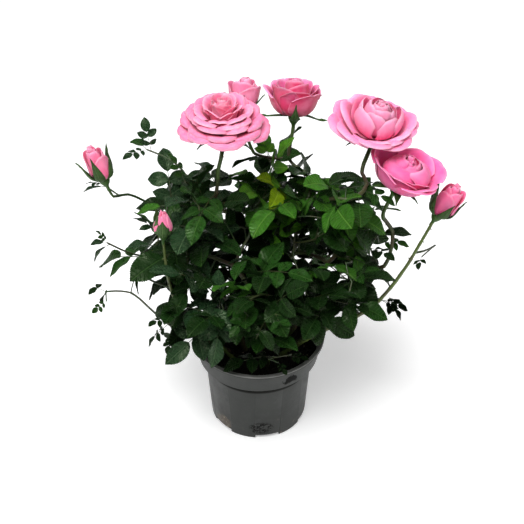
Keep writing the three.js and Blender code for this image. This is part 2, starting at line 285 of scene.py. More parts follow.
class Nodes:
    """A material's node tree, built by short calls. An input named i0, i1 and so on goes by number."""

    def __init__(self, name):
        self.material = bpy.data.materials.new(name)
        self.material.use_nodes = True
        self.tree = self.material.node_tree
        self.shader = self.tree.nodes["Principled BSDF"]

    def node(self, kind, settings=None, **inputs):
        made = self.tree.nodes.new(kind)
        for key, value in (settings or {}).items():
            setattr(made, key, value)
        for key, value in inputs.items():
            numbered = key[0] == "i" and key[1:].isdigit()
            self.put(made.inputs[int(key[1:]) if numbered else key], value)
        return made.outputs[0]

    def put(self, socket, value):
        if isinstance(value, bpy.types.NodeSocket):
            self.tree.links.new(value, socket)
        else:
            socket.default_value = value

    def set(self, **inputs):
        for key, value in inputs.items():
            self.put(self.shader.inputs[key.replace("_", " ")], value)
        return self

    def math(self, operation, a, b=0.0, c=0.0):
        return self.node("ShaderNodeMath", {"operation": operation}, i0=a, i1=b, i2=c)

    def times(self, a, b):
        return self.math("MULTIPLY", a, b)

    def vector(self, operation, *inputs):
        inputs = {f"i{number}": value for number, value in enumerate(inputs)}
        return self.node("ShaderNodeVectorMath", {"operation": operation}, **inputs)

    def uv(self):
        return self.node("ShaderNodeUVMap", {"uv_map": "OFBake"})

    def split(self, vector):
        made = self.tree.nodes.new("ShaderNodeSeparateXYZ")
        self.put(made.inputs[0], vector)
        return made.outputs

    def join(self, x, y, z=0.0):
        return self.node("ShaderNodeCombineXYZ", None, i0=x, i1=y, i2=z)

    def position(self):
        return self.tree.nodes.new("ShaderNodeTexCoord").outputs["Object"]

    def noise(self, vector, scale, detail=3.0, roughness=0.55):
        return self.node(
            "ShaderNodeTexNoise", None, Vector=vector, Scale=scale, Detail=detail, Roughness=roughness
        )

    def ramp(self, value, low, high, to_low=0.0, to_high=1.0):
        return self.node(
            "ShaderNodeMapRange", {"interpolation_type": "SMOOTHSTEP"},
            i0=value, i1=low, i2=high, i3=to_low, i4=to_high,
        )

    def mix(self, share, a, b):
        made = self.tree.nodes.new("ShaderNodeMix")
        made.data_type = "RGBA"
        self.put(made.inputs[0], share)
        self.put(made.inputs[6], a if isinstance(a, bpy.types.NodeSocket) else (*a, 1.0))
        self.put(made.inputs[7], b if isinstance(b, bpy.types.NodeSocket) else (*b, 1.0))
        return made.outputs[2]

    def layer(self, skin, colour, strength, mask):
        """A colour over the skin where the mask is, at most at this strength."""
        return self.mix(self.times(mask, strength), skin, colour)

    def bump(self, height, strength, distance):
        made = self.node(
            "ShaderNodeBump", None, Height=height, Strength=strength, Distance=distance
        )
        self.put(self.shader.inputs["Normal"], made)


# Pairs of side veins in a leaflet, and the green of its gloss.
SIDE_VEINS = 10.0
LEAF_SHEEN = (0.80, 1.0, 0.62, 1)


def cell_parts(nodes):
    """The place in an atlas cell, and a random number that is the same all over that cell."""
    scaled = nodes.vector("MULTIPLY", nodes.uv(), (ATLAS_CELLS, ATLAS_CELLS, 0))
    floor = nodes.vector("FLOOR", scaled)
    local = nodes.vector("SUBTRACT", scaled, floor)
    white = nodes.node("ShaderNodeTexWhiteNoise", {"noise_dimensions": "2D"}, Vector=floor)
    return nodes.split(local), white


def leaf_material(name, colour, vein, rough, gloss, underside=False):
    """Leaf skin with a midrib, side veins that curve forward, fine netting and a soft gloss."""
    n = Nodes(name)
    (u, v, _), luck = cell_parts(n)
    side = n.math("ABSOLUTE", n.math("SUBTRACT", u, 0.5))
    sweep = n.math("MULTIPLY_ADD", n.times(side, side), 0.5, n.times(side, 0.42))
    along = n.times(n.math("SUBTRACT", v, sweep), SIDE_VEINS)
    near = n.math("ABSOLUTE", n.math("SUBTRACT", n.math("FRACT", along), 0.5))
    lateral = n.times(n.ramp(near, 0.40, 0.5), n.ramp(side, 0.36, 0.10))
    midrib = n.ramp(side, 0.028, 0.008)
    veins = n.math("MAXIMUM", midrib, n.times(lateral, 0.55))
    netting = n.node(
        "ShaderNodeTexVoronoi", {"feature": "DISTANCE_TO_EDGE"}, Vector=n.uv(), Scale=150.0
    )
    net = n.ramp(netting, 0.10, 0.0)
    mottle = n.noise(n.uv(), 26.0, 4.0)
    dark = tuple(value * 0.55 for value in colour)
    light = tuple(min(1, value * 1.45) for value in colour)
    body = n.mix(n.ramp(mottle, 0.3, 0.7), dark, light)
    body = n.layer(body, tuple(value * 0.6 for value in colour), 0.8, luck)
    body = n.layer(body, vein, 0.5 if underside else 0.6, veins)
    body = n.layer(body, vein, 0.12, net)
    body = n.layer(body, vein, 0.35, n.ramp(v, 0.94, 1.0))
    n.set(Base_Color=body, Specular_IOR_Level=gloss, Specular_Tint=LEAF_SHEEN)
    n.set(Roughness=n.ramp(mottle, 0.2, 0.8, rough - 0.06, rough + 0.10))
    relief = n.math("MULTIPLY_ADD", net, -0.25, n.times(veins, 0.9 if underside else -0.9))
    n.bump(relief, 1.0, 0.0013)
    return n.material


def petal_material(name, deep, body, pale):
    """A petal: deep at its foot, pale at its rim, with fine streaks that run its length. The deep foot
    is partly its own colour and partly painted shade, the pale rim partly its own colour and partly a
    painted highlight.
    """
    n = Nodes(name)
    (u, v, _), luck = cell_parts(n)
    side = n.times(n.math("ABSOLUTE", n.math("SUBTRACT", u, 0.5)), 2.0)
    streaks = n.noise(n.join(n.times(u, 22.0), n.times(v, 1.6), luck), 2.2, 4.0)
    clouds = n.noise(n.join(u, v, n.times(luck, 7.0)), 3.0, 2.0)
    depth = n.math("ADD", v, n.times(n.math("SUBTRACT", streaks, 0.5), 0.35))
    # Deep at the foot: partly the petal's own colour, partly painted shade where the petals shade each
    # other.
    skin = n.mix(n.ramp(depth, 0.16, 0.74), deep, body)
    # Pale at the rim and sides: partly the petal's own colour, partly a painted highlight.
    rim = n.math("MAXIMUM", n.ramp(v, 0.86, 1.0), n.ramp(side, 0.86, 1.0))
    skin = n.layer(skin, pale, 0.75, rim)
    skin = n.layer(skin, pale, 0.25, n.ramp(clouds, 0.35, 0.75))
    skin = n.layer(skin, deep, 0.18, luck)
    skin = n.layer(skin, deep, 0.16, n.ramp(streaks, 0.55, 0.8))
    n.set(Base_Color=skin, Roughness=n.ramp(clouds, 0.2, 0.8, 0.48, 0.62))
    n.set(Specular_IOR_Level=0.25, Subsurface_Weight=0.4, Subsurface_Scale=0.0025)
    n.set(Subsurface_Radius=(1.0, 0.45, 0.5), Sheen_Weight=0.15, Sheen_Roughness=0.5)
    n.bump(streaks, 0.22, 0.0003)
    return n.material


BARK_DOTS = (0.30, 0.27, 0.16)


def bark_material(name, young, old, rough):
    """Cane bark: green skin that browns in patches, with fine lengthwise lines and pale dots."""
    n = Nodes(name)
    place = n.position()
    patches = n.noise(place, 55.0, 4.0)
    lines = n.noise(n.vector("MULTIPLY", place, (9.0, 9.0, 1.0)), 90.0, 3.0)
    dots = n.node("ShaderNodeTexVoronoi", None, Vector=place, Scale=620.0)
    skin = n.mix(n.ramp(patches, 0.38, 0.62), young, old)
    skin = n.layer(skin, tuple(c * 0.45 for c in old), 0.4, n.ramp(lines, 0.5, 0.7))
    skin = n.layer(skin, BARK_DOTS, 0.35, n.ramp(dots, 0.22, 0.12))
    n.set(Base_Color=skin, Roughness=n.ramp(lines, 0.3, 0.7, rough - 0.08, rough + 0.1))
    n.set(Specular_IOR_Level=0.4)
    n.bump(n.math("ADD", lines, patches), 0.35, 0.0003)
    return n.material


# The pot's colours, and its marks: where each spot is on the wall and how large, in metres.
PLASTIC = ((0.026, 0.0285, 0.026), (0.031, 0.0335, 0.031))
# The second colour here is a painted highlight, for the light line along the rim's top edge.
DUST, RIM_HIGHLIGHT = (0.12, 0.12, 0.11), (0.24, 0.24, 0.23)
# The first colour here is painted shade, for the dark band under the collar's step.
STEP_SHADE_BLACK, SPECK_BLACK = (0.007, 0.007, 0.006), (0.012, 0.011, 0.01)
WORN_BROWN, FLAKE_BROWN = (0.24, 0.20, 0.15), (0.30, 0.26, 0.20)
SCUFF = ((-0.0315, -0.032, 0.0095), (0.008, 0.013, 0.008))
SCUFF_BROWN = (0.085, 0.060, 0.038)
SPLASH = ((0.0030, -0.045, 0.0135), (0.013, 0.013, 0.009))
SPLASH_BLACK = (0.004, 0.0035, 0.003)
BLOT = ((0.0285, -0.049, 0.0775), (0.0065, 0.012, 0.0045))
BLOT_BLACK = (0.002, 0.002, 0.0015)


def patch(n, place, spot, ragged):
    """1 inside an uneven spot on the pot, and 0 outside it."""
    middle, size = spot
    gap = n.vector("DIVIDE", n.vector("SUBTRACT", place, middle), size)
    reach = n.tree.nodes.new("ShaderNodeVectorMath")
    reach.operation = "LENGTH"
    n.put(reach.inputs[0], gap)
    edge = n.math("MULTIPLY_ADD", n.math("SUBTRACT", ragged, 0.5), 2.4, reach.outputs["Value"])
    return n.ramp(edge, 1.1, 0.8)


def pot_material():
    """Thin satin polypropylene: flow marks, dust, fine scratches, scuffs and a few dirty spots, with
    painted shade under the collar's step and a painted highlight along the rim's top edge.
    """
    n = Nodes("pot_plastic")
    place = n.position()
    x, y, z = n.split(place)
    bearing = n.math("ARCTAN2", y, x)
    flow = n.noise(n.join(n.times(bearing, 2.2), n.times(z, 20.0)), 1.1, 3.0)
    dust = n.noise(place, 34.0, 6.0, 0.65)
    grime = n.noise(place, 160.0, 5.0, 0.7)
    chips = n.noise(place, 420.0, 4.0, 0.7)
    scratch = n.noise(n.join(n.times(bearing, 2.5), n.times(z, 900.0)), 3.2, 2.0)
    speck = n.node("ShaderNodeTexVoronoi", None, Vector=place, Scale=240.0)
    skin = n.mix(n.ramp(flow, 0.2, 0.8), *PLASTIC)
    skin = n.layer(skin, DUST, 0.12, n.ramp(dust, 0.52, 0.72))
    low = n.ramp(z, 0.032, 0.004)
    # Painted shade: a dark band on the wall just under the collar's step, where its overhang shades it.
    crease = n.times(n.ramp(z, 0.0592, 0.0622), n.ramp(z, 0.0705, 0.0690))
    skin = n.layer(skin, STEP_SHADE_BLACK, 0.85, crease)
    # Painted highlight: a light line along the rim's top edge, its strength varied by the dust noise.
    rim = n.times(n.ramp(z, 0.0896, 0.0904), n.ramp(dust, 0.25, 0.6, 0.45, 0.95))
    skin = n.mix(rim, skin, RIM_HIGHLIGHT)
    specks = n.times(n.ramp(speck, 0.20, 0.10), n.ramp(grime, 0.54, 0.66))
    skin = n.layer(skin, SPECK_BLACK, n.math("MULTIPLY_ADD", low, 0.65, 0.2), specks)
    skin = n.layer(skin, WORN_BROWN, 0.5, n.times(n.ramp(grime, 0.60, 0.72), low))
    scuff = n.times(patch(n, place, SCUFF, grime), 0.8)
    skin = n.mix(scuff, skin, SCUFF_BROWN)
    skin = n.mix(n.times(scuff, n.ramp(chips, 0.56, 0.62)), skin, FLAKE_BROWN)
    splash = n.times(patch(n, place, SPLASH, chips), n.ramp(chips, 0.47, 0.52))
    skin = n.mix(splash, skin, SPLASH_BLACK)
    blot = patch(n, place, BLOT, grime)
    skin = n.layer(skin, BLOT_BLACK, 0.95, blot)
    marks = n.math("MAXIMUM", n.math("MAXIMUM", crease, blot), n.times(splash, 0.8))
    n.set(Base_Color=skin, Specular_IOR_Level=n.ramp(marks, 0.1, 0.8, 0.17, 0.02))
    n.set(Roughness=n.ramp(dust, 0.3, 0.75, 0.36, 0.58))
    relief = n.math("MULTIPLY_ADD", scratch, 0.35, n.times(grime, 0.5))
    n.bump(n.math("ADD", relief, n.times(flow, 0.8)), 0.28, 0.0004)
    return n.material


def soil_material(name, dark, light):
    """Moist peat: near black, with crumbs and short brown fibres."""
    n = Nodes(name)
    place = n.position()
    crumbs = n.noise(place, 420.0, 6.0, 0.7)
    fibres = n.node("ShaderNodeTexVoronoi", None, Vector=place, Scale=700.0)
    skin = n.mix(n.ramp(crumbs, 0.42, 0.70), dark, light)
    skin = n.layer(skin, (0.10, 0.065, 0.035), 0.3, n.ramp(fibres, 0.16, 0.05))
    n.set(Base_Color=skin, Roughness=0.92, Specular_IOR_Level=0.25)
    n.bump(crumbs, 0.8, 0.001)
    return n.material


# ---- Branches ----

# A twig's least radius, and how much thicker the root of what it carries makes it.
TWIG_RADIUS, LOAD_RADIUS = 0.42, 0.24


class Branches:
    """All woody growth as one tree of points. Every point knows its parent and its least radius."""

    def __init__(self):
        self.points, self.parents, self.loads, self.least = [], [], [], []
        self.chains = []

    def chain(self, parent, points, radii=None, kind="twig"):
        """Adds a run of points that grows on from a parent point, and returns the last one's number."""
        numbers = [] if parent < 0 else [parent]
        for i, point in enumerate(points):
            self.parents.append(numbers[-1] if numbers else -1)
            numbers.append(len(self.points))
            self.points.append(np.asarray(point, float))
            self.loads.append(0.0)
            self.least.append(0.0 if radii is None else float(radii[i]))
        self.chains.append((kind, numbers))
        return numbers[-1]

    def direction(self, number):
        parent = self.parents[number]
        if parent < 0:
            return UP
        return unit(self.points[number] - self.points[parent])

    def nearest(self, target, outward, shyness=1.2):
        """The point that is best to grow from: close, and not farther out than the target."""
        gaps = np.asarray(self.points) - target
        distance = np.linalg.norm(gaps, axis=1)
        beyond = np.maximum(0, gaps @ outward)
        number = int(np.argmin(distance + shyness * beyond))
        return number, distance[number]

    def grow(self, target, outward, rng, kind="twig", end=None):
        """Grows a smooth run from the best point to the target, and returns its last number."""
        start, distance = self.nearest(target, outward)
        origin = self.points[start]
        straight = unit(target - origin)
        along = 0.35 if kind == "shoot" else 0.7
        leave = unit(self.direction(start) * along + straight + 0.15 * rng.standard_normal(3))
        arrive = straight if end is None else end
        steps = max(3, int(distance / 3.5))
        share = np.linspace(0, 1, steps + 1)[1:, None]
        c1 = origin + leave * distance * 0.38
        c2 = target - arrive * distance * 0.34
        run = ((1 - share) ** 3 * origin + 3 * (1 - share) ** 2 * share * c1
               + 3 * (1 - share) * share ** 2 * c2 + share ** 3 * target)
        return self.chain(start, run, kind=kind)

    def relax(self, rounds=8):
        """Eases the bends of twigs, and of the joints between them."""
        points, parents = np.array(self.points), np.array(self.parents)
        following = np.arange(len(points))
        free = np.zeros(len(points), bool)
        for kind, numbers in self.chains:
            following[numbers[:-1]] = numbers[1:]
            if kind in ("twig", "shoot"):
                free[numbers[1:]] = True
        free &= following != np.arange(len(points))
        for _ in range(rounds):
            middle = (points[parents] + points[following]) / 2
            points[free] += 0.5 * (middle - points)[free]
        self.points = list(points)

    def thicken(self, number, radius):
        """Makes the way down from a point at least this thick, as far as the next thicker limb."""
        while number >= 0 and self.least[number] < radius:
            self.least[number] = radius
            number = self.parents[number]

    def shed(self, carrying):
        """Drops the ends of twigs that carry nothing."""
        alive = np.zeros(len(self.points), bool)
        alive[list(carrying)] = True
        for kind, numbers in self.chains:
            if kind not in ("twig", "shoot"):
                alive[numbers] = True
        for number in range(len(alive) - 1, -1, -1):
            if alive[number] and self.parents[number] >= 0:
                alive[self.parents[number]] = True
        chains = [(kind, [n for n in numbers if alive[n]]) for kind, numbers in self.chains]
        self.chains = [(kind, numbers) for kind, numbers in chains if len(numbers) > 1]

    def radii(self):
        loads = np.array(self.loads)
        for number in range(len(loads) - 1, -1, -1):
            if self.parents[number] >= 0:
                loads[self.parents[number]] += loads[number]
        return np.maximum(TWIG_RADIUS + LOAD_RADIUS * np.sqrt(loads), np.array(self.least))


# ---- Leaves ----

ROWS = 20
COLUMNS = np.array([-1, -0.52, 0, 0.52, 1])
VARIANTS = 16
# How long the stalk of a leaf is, as a share of its end leaflet, by its pairs of leaflets.
STALKS = (0.28, 1.08, 1.44, 1.80)
# Where the pairs stand along the stalk, and how large they are beside the end leaflet.
PAIR_PLACES = ((), (0.62,), (0.42, 0.74), (0.32, 0.56, 0.79))
PAIR_SIZES = ((), (0.86,), (0.66, 0.82), (0.66, 0.82, 0.9))
# How far leaves keep from flowers, from the pot's lip and the soil, and how far they may reach out
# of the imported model's box.
FLOWER_GAP, LIP_GAP_IN, LIP_GAP_OUT, POT_GAP_ABOVE, BOX_MARGIN = 1.0, 5, 3, 1, 3


def leaflet_faces():
    """Faces of a closed, toothed leaflet. Material 0 is its upper side and 1 its underside."""
    width = len(COLUMNS)
    under_start = 2 + (ROWS - 1) * width
    teeth_start = under_start + (ROWS - 1) * (width - 2)

    def upper(k, c):
        if k == 0 or k == ROWS:
            return 0 if k == 0 else 1
        return 2 + (k - 1) * width + c

    def under(k, c):
        if k in (0, ROWS) or c in (0, width - 1):
            return upper(k, c)
        return under_start + (k - 1) * (width - 2) + c - 1

    quads, tris = ([], []), ([], [])
    for side, at in enumerate((upper, under)):
        for k in range(ROWS):
            for c in range(width - 1):
                ring = [at(k, c), at(k + 1, c), at(k + 1, c + 1), at(k, c + 1)]
                ring = list(dict.fromkeys(ring))
                ring = ring[::-1] if side else ring
                (quads if len(ring) == 4 else tris)[side].append(ring)
            for edge, c in enumerate((0, width - 1)):
                tip = teeth_start + edge * ROWS + k
                tooth = [at(k + 1, c), at(k, c), tip] if edge == 0 else [at(k, c), at(k + 1, c), tip]
                tris[side].append(tooth[::-1] if side else tooth)
    return [(np.array(quads[i]), i) for i in (0, 1)] + [(np.array(tris[i]), i) for i in (0, 1)]


def leaflet_outline(along):
    """Half the width of a leaflet at a share of its length: round foot, pointed tip."""
    full = np.sin(math.pi * np.clip(along, 0, 1) ** 0.84) ** 0.78
    return full * (1 - 0.22 * smooth(0.78, 1, along))


def leaflet_verts(rng, curl):
    """One leaflet of length 1 along X, with its upper side to +Z, and its UVs."""
    width, thick, teeth = 0.305, 0.011, 0.020
    fold, quilt, wave = 0.24, 0.013, 0.10
    k = np.arange(1, ROWS)[:, None] / ROWS
    s = COLUMNS[None, :]
    x = k + 0.10 * np.abs(s) * np.sin(math.pi * k)
    breadth = width * (1 + 0.08 * rng.standard_normal())
    half = breadth * leaflet_outline(x)
    y = s * half
    parity = np.where(np.arange(1, ROWS)[:, None] % 2 == 0, 1.0, -1.0)
    inner = ((np.abs(s) > 0.1) & (np.abs(s) < 0.9)).astype(float)
    z = quilt * parity * inner - 0.9 * quilt * (np.abs(s) < 0.1)
    phase = rng.uniform(0, 1, 2)
    ripple = np.where(s > 0, phase[0], phase[1])
    z = z + wave * np.sin(2 * math.pi * (x * 1.7 + ripple)) * s ** 2 * half
    z = z + fold * np.abs(y) * (1 - 0.5 * x)
    grid = np.stack([x, y, z], -1)
    under = grid[:, 1:-1].copy()
    under[..., 2] -= thick * (1 + 0.9 * (np.abs(COLUMNS[1:-1]) < 0.1))
    teeth_points = []
    for edge in (0, -1):
        rim = np.concatenate([[[0, 0, 0]], grid[:, edge], [[1, 0, 0]]])
        a, b = rim[:-1], rim[1:]
        point = a * 0.22 + b * 0.78
        size = teeth * smooth(0.05, 0.3, point[:, 0]) * (1 - 0.5 * smooth(0.85, 1.0, point[:, 0]))
        point[:, 1] += np.where(edge == 0, -1, 1) * size
        point[:, 0] += 0.5 * size
        teeth_points.append(point)
    flat = np.concatenate([
        [[0, 0, 0], [1, 0, 0]], grid.reshape(-1, 3), under.reshape(-1, 3), *teeth_points,
    ])
    uv = np.stack([0.5 + flat[:, 1] / 0.9, flat[:, 0] * 0.98 + 0.01], -1)
    bend = curl * (1 + 0.35 * rng.standard_normal()) + 1e-3
    angle = bend * flat[:, 0]
    twist = rng.normal(0, 0.16) * flat[:, 0]
    yy = flat[:, 1] * np.cos(twist) - flat[:, 2] * np.sin(twist)
    zz = flat[:, 1] * np.sin(twist) + flat[:, 2] * np.cos(twist)
    verts = np.stack([
        np.sin(angle) / bend + zz * np.sin(angle),
        yy,
        -(1 - np.cos(angle)) / bend + zz * np.cos(angle),
    ], -1)
    return verts, uv


class Leaves:
    """Leaflets waiting to be made, with the stalks that carry them."""

    def __init__(self, clear_of):
        rng = random_for("leaflets")
        made = [leaflet_verts(rng, rng.uniform(0.25, 0.9)) for _ in range(VARIANTS)]
        self.shapes, self.uvs = (np.array(part) for part in zip(*made))
        self.faces = leaflet_faces()
        self.rows = []
        self.stalks = []
        self.carriers = set()
        self.rng = random_for("leaf choice")
        self.clear_of = clear_of

    def blocked(self, base, tip):
        """True if a leaflet's midrib would pass through a flower or the pot, or leave the box."""
        for share in (0.35, 0.7, 1.0):
            point = base + (tip - base) * share
            near = [solid for solid in self.clear_of if near_box(solid, point)]
            if any(solid.depth(point) > -FLOWER_GAP for solid in near):
                return True
            ring = math.hypot(point[0], point[1])
            at_lip = RIM_RADIUS - LIP_GAP_IN < ring < RIM_RADIUS + LIP_GAP_OUT
            if at_lip and point[2] < RIM_HEIGHT + POT_GAP_ABOVE:
                return True
            if ring <= RIM_RADIUS and point[2] < SOIL_HEIGHT + POT_GAP_ABOVE:
                return True
            if np.any(point < LOW - BOX_MARGIN) or np.any(point > HIGH + BOX_MARGIN):
                return True
        return False

    def leaflet(self, base, heading, face, size, tint):
        if not self.blocked(base, base + heading * size):
            self.rows.append((base, heading, across_to(face, heading), size, tint))

    def leaf(self, branches, number, heading, face, size, pairs, tint, arch, stalk=None):
        """A compound leaf: an arching stalk with pairs of leaflets and one at its end.

        heading is where it grows to, face where its upper side looks, and size its end leaflet's.
        """
        rng = self.rng
        made = len(self.rows)
        base = branches.points[number]
        heading = across_to(heading, face) if abs(np.dot(heading, face)) < 0.99 else heading
        length = size * STALKS[pairs] if stalk is None else stalk
        steps = 4 + 2 * pairs
        side = np.cross(face, heading)
        points, headings, faces = [np.asarray(base, float)], [], []
        for i in range(steps + 1):
            pitch = arch * (0.55 - 1.15 * i / steps)
            headings.append(turned(heading, side, -pitch))
            faces.append(turned(face, side, -pitch))
            if i < steps:
                points.append(points[-1] + headings[-1] * length / steps)
        self.stalks.append((np.array(points), np.linspace(0.62, 0.36, steps + 1) * size / 30))
        for share, small in zip(PAIR_PLACES[pairs], PAIR_SIZES[pairs]):
            step = int(round(share * steps))
            for hand in (-1, 1):
                spread = math.radians(rng.uniform(54, 76)) * hand
                out = turned(headings[step], faces[step], spread)
                lean = side * hand * rng.uniform(-0.12, 0.34)
                tilt = unit(faces[step] + lean + 0.10 * rng.standard_normal(3))
                start = points[step] + headings[step] * rng.uniform(-0.6, 0.6)
                self.leaflet(start, out, tilt, size * small * rng.uniform(0.92, 1.08), tint)
        end_face = unit(faces[-1] + 0.12 * rng.standard_normal(3))
        self.leaflet(points[-1], headings[-1], end_face, size * rng.uniform(0.96, 1.08), tint)
        if len(self.rows) == made:
            self.stalks.pop()
        else:
            self.carriers.add(number)

    def make(self, tints):
        """For each tint of leaf its name, all its leaflets, and its two materials."""
        rng = random_for("leaf variants")
        for tint, materials in tints.items():
            rows = [row for row in self.rows if row[4] == tint]
            if not rows:
                continue
            base, heading, face = (np.array([row[i] for row in rows]) for i in range(3))
            size = np.array([row[3] for row in rows])
            side = np.cross(face, heading)
            pick = rng.integers(0, VARIANTS, len(rows))
            cell = rng.integers(0, ATLAS_CELLS ** 2, len(rows))
            shape = self.shapes[pick] * size[:, None, None]
            verts = (base[:, None] + shape[..., :1] * heading[:, None]
                     + shape[..., 1:2] * side[:, None] + shape[..., 2:] * face[:, None])
            uv = atlas(self.uvs[pick], cell[:, None] + np.zeros((1, shape.shape[1]), int))
            jump = (np.arange(len(rows)) * shape.shape[1])[:, None, None]
            faces = [((array[None] + jump).reshape(-1, array.shape[1]), number)
                     for array, number in self.faces]
            soup = Soup()
            soup.add(verts.reshape(-1, 3), faces, uv.reshape(-1, 2))
            yield tint, soup, materials


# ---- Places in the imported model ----

LOW, HIGH = (np.array(corner) / MM for corner in cad_box)
RIM_RADIUS, _, RIM_HEIGHT = corners("pot")[1]
SOIL_HEIGHT = corners("soil")[1][2]


def near_box(solid, point, margin=3.0):
    return bool(np.all(point > solid.low - margin) and np.all(point < solid.high + margin))


def inside_any(solids, point):
    return any(near_box(solid, point, 0) and solid.depth(point) > 0 for solid in solids)


masses = [Solid(name) for name in MASSES]
flowers = {name: Solid(name) for name in FLOWERS}
heart = Solid("foliage_core").centroid()


# ---- Growth ----

FRONT = np.array([0.0, -1.0, 0.0])
# Under the first height no leaf is pale, and under the second half of them are near-black shade leaves:
# painted shade.
SHADE_HEIGHT, DEEP_SHADE_HEIGHT = 185, 145
# Twigs grow to places this far apart and this deep in a mass, out of so many tries in each.
TWIG_SPACING, TWIG_DEPTH, TWIG_TRIES = 30, 4, 400
# Leaves stand this far apart in the crown's shell and inside it, at least so deep in a mass, and
# one place is tried for so many cubic millimetres of its box. The shell is so thick.
SHELL_SPACING, INNER_SPACING, SITE_DEPTH, SITE_VOLUME = 20, 33, 2, 300
SHELL_DEPTH = 26
# Places that lone leaves take are kept free at this share of the spacing.
TAKEN_SPACING = 0.9
# A leaf grows straight from a twig that is no farther off than this, and weighs so much on it.
STALK_REACH, EDGE_STALK_REACH, LEAF_LOAD = 13, 9, 0.6
# Where a leaf's middle is along it, and the share of its length that a curled leaflet reaches.
LEAF_MIDDLE, CURLED_REACH = 0.62, 0.84
# Lone leaves that stand out past a mass: how many, from where to where as shares of the way from
# the mass's middle to the side of its box, and their largest size.
EDGE_COUNT = 3
EDGE_FOOT, EDGE_TIP = 0.55, 1.2
EDGE_SIZE = 28

# How much farther apart leaves stand in the loose masses.
LOOSE = {
    "foliage_left_tip": 1.5, "foliage_low_left": 1.5, "foliage_low_right": 2.0,
    "foliage_right_outer": 1.8, "foliage_upper_left": 1.7, "foliage_bud_left": 1.4,
    "foliage_front_low": 1.25, "foliage_right": 1.05, "foliage_right_shoulder": 0.85,
}
# Leaves also stand farther apart towards the plant's outer ends, from this reach to that one.
LOOSE_FROM, LOOSE_TO, LOOSE_ENDS = 84, 125, 0.45
# The least, usual and largest end leaflet in the shell of a mass. The last row is for the others.
LEAFLET_SIZES = {
    "foliage_front_low": (15, 18, 22), "foliage_low_left": (16, 20, 24),
    "foliage_low_right": (16, 20, 25), "": (18, 24, 34),
}
# Masses whose leaves point higher than those of the others.
RISING = ("foliage_low_right", "foliage_right_outer")

# The share of each tint of leaf in a mass. Masses that aren't named take the last row.
# The low masses and the core take mostly dark and shade leaves: painted shade for the shade low and
# inside the crown.
TINT_SHARES = {
    "foliage_left_tip": {"grey": 0.5, "dark": 0.4, "mid": 0.1},
    "foliage_left_outer": {"grey": 0.4, "dark": 0.4, "mid": 0.2},
    "foliage_upper_left": {"grey": 0.8, "mid": 0.2},
    "foliage_bud_left": {"grey": 0.5, "dark": 0.5},
    "foliage_left_shoulder": {"grey": 0.35, "mid": 0.35, "dark": 0.2, "bright": 0.1},
    "foliage_crest": {"mid": 0.4, "bright": 0.2, "young": 0.2, "dark": 0.15, "shoot": 0.05},
    "foliage_right_shoulder": {"bright": 0.4, "mid": 0.4, "dark": 0.2},
    "foliage_right": {"mid": 0.25, "bright": 0.2, "dark": 0.45, "young": 0.1},
    "foliage_right_outer": {"dark": 0.8, "mid": 0.2},
    "foliage_front": {"mid": 0.35, "bright": 0.12, "dark": 0.53},
    "foliage_front_left": {"dark": 0.7, "grey": 0.15, "mid": 0.15},
    "foliage_front_low": {"dark": 0.5, "shade": 0.45, "mid": 0.05},
    "foliage_low_left": {"dark": 0.6, "shade": 0.2, "mid": 0.2},
    "foliage_low_right": {"dark": 0.6, "shade": 0.35, "mid": 0.05},
    "foliage_core": {"shade": 0.6, "dark": 0.4},
    "foliage_left": {"dark": 0.6, "grey": 0.25, "mid": 0.15},
    "": {"mid": 0.3, "dark": 0.65, "bright": 0.05},
}


def grow_canes(branches):
    for name in CANES:
        arching = "arch" in name
        middles, radii = centre_line(name, 26 if arching else 16)
        branches.chain(-1, middles, radii, kind="arch" if arching else "cane")


def grow_twigs(branches):
    rng = random_for("twigs")
    targets = []
    for mass in masses:
        kept = np.empty((0, 3))
        for point in rng.uniform(mass.low, mass.high, (TWIG_TRIES, 3)):
            if len(kept) and np.linalg.norm(kept - point, axis=1).min() < TWIG_SPACING:
                continue
            if mass.depth(point) > TWIG_DEPTH:
                kept = np.vstack([kept, point])
        targets += list(kept)
    foot = np.array([0, 0, SOIL_HEIGHT])
    for point in sorted(targets, key=lambda place: np.linalg.norm(place - foot)):
        number = branches.grow(point, unit(point - heart), rng)
        branches.loads[number] += 1


def grow_stems(branches):
    rng = random_for("stems")
    for name in STEMS:
        middles, radii = centre_line(name, 8)
        radii = np.maximum(radii, np.median(radii))
        direction = unit(middles[2] - middles[0])
        number = branches.grow(middles[0] - direction, direction, rng, end=direction)
        branches.thicken(number, radii[0])
        branches.chain(number, middles, radii, kind="stem")


def leaf_sites(taken):
    """Places for leaves, close together in the crown's outer shell and sparse inside it."""
    rng = random_for("sites")
    taken = np.array(taken)
    places, outs, shells, names = [], [], [], []
    for mass in masses:
        own = mass.centroid()
        tries = int(np.prod(mass.high - mass.low) / SITE_VOLUME)
        for point in rng.uniform(mass.low, mass.high, (tries, 3)):
            if mass.depth(point) < SITE_DEPTH:
                continue
            outward = unit(0.6 * unit(point - heart) + 0.5 * unit(point - own))
            shell = not inside_any(masses, point + outward * SHELL_DEPTH)
            ends = smooth(LOOSE_FROM, LOOSE_TO, math.hypot(point[0], point[1]))
            spacing = (SHELL_SPACING if shell else INNER_SPACING) * LOOSE.get(mass.name, 1)
            spacing *= 1 + LOOSE_ENDS * ends
            if np.linalg.norm(taken - point, axis=1).min() < TAKEN_SPACING * spacing:
                continue
            if places and np.linalg.norm(np.array(places) - point, axis=1).min() < spacing:
                continue
            places.append(point)
            outs.append(outward)
            shells.append(shell)
            names.append(mass.name)
    return places, outs, shells, names


def attach(branches, base, outward, rng, reach=STALK_REACH, end=None):
    """The number of the point that carries a leaf with its base near there, grown if none is near."""
    number, distance = branches.nearest(base, outward)
    if distance > reach:
        number = branches.grow(base, outward, rng, kind="shoot", end=end)
    branches.loads[number] += LEAF_LOAD
    return number


def pick_tint(name, rng):
    shares = TINT_SHARES.get(name, TINT_SHARES[""])
    return str(rng.choice(list(shares), p=list(shares.values())))


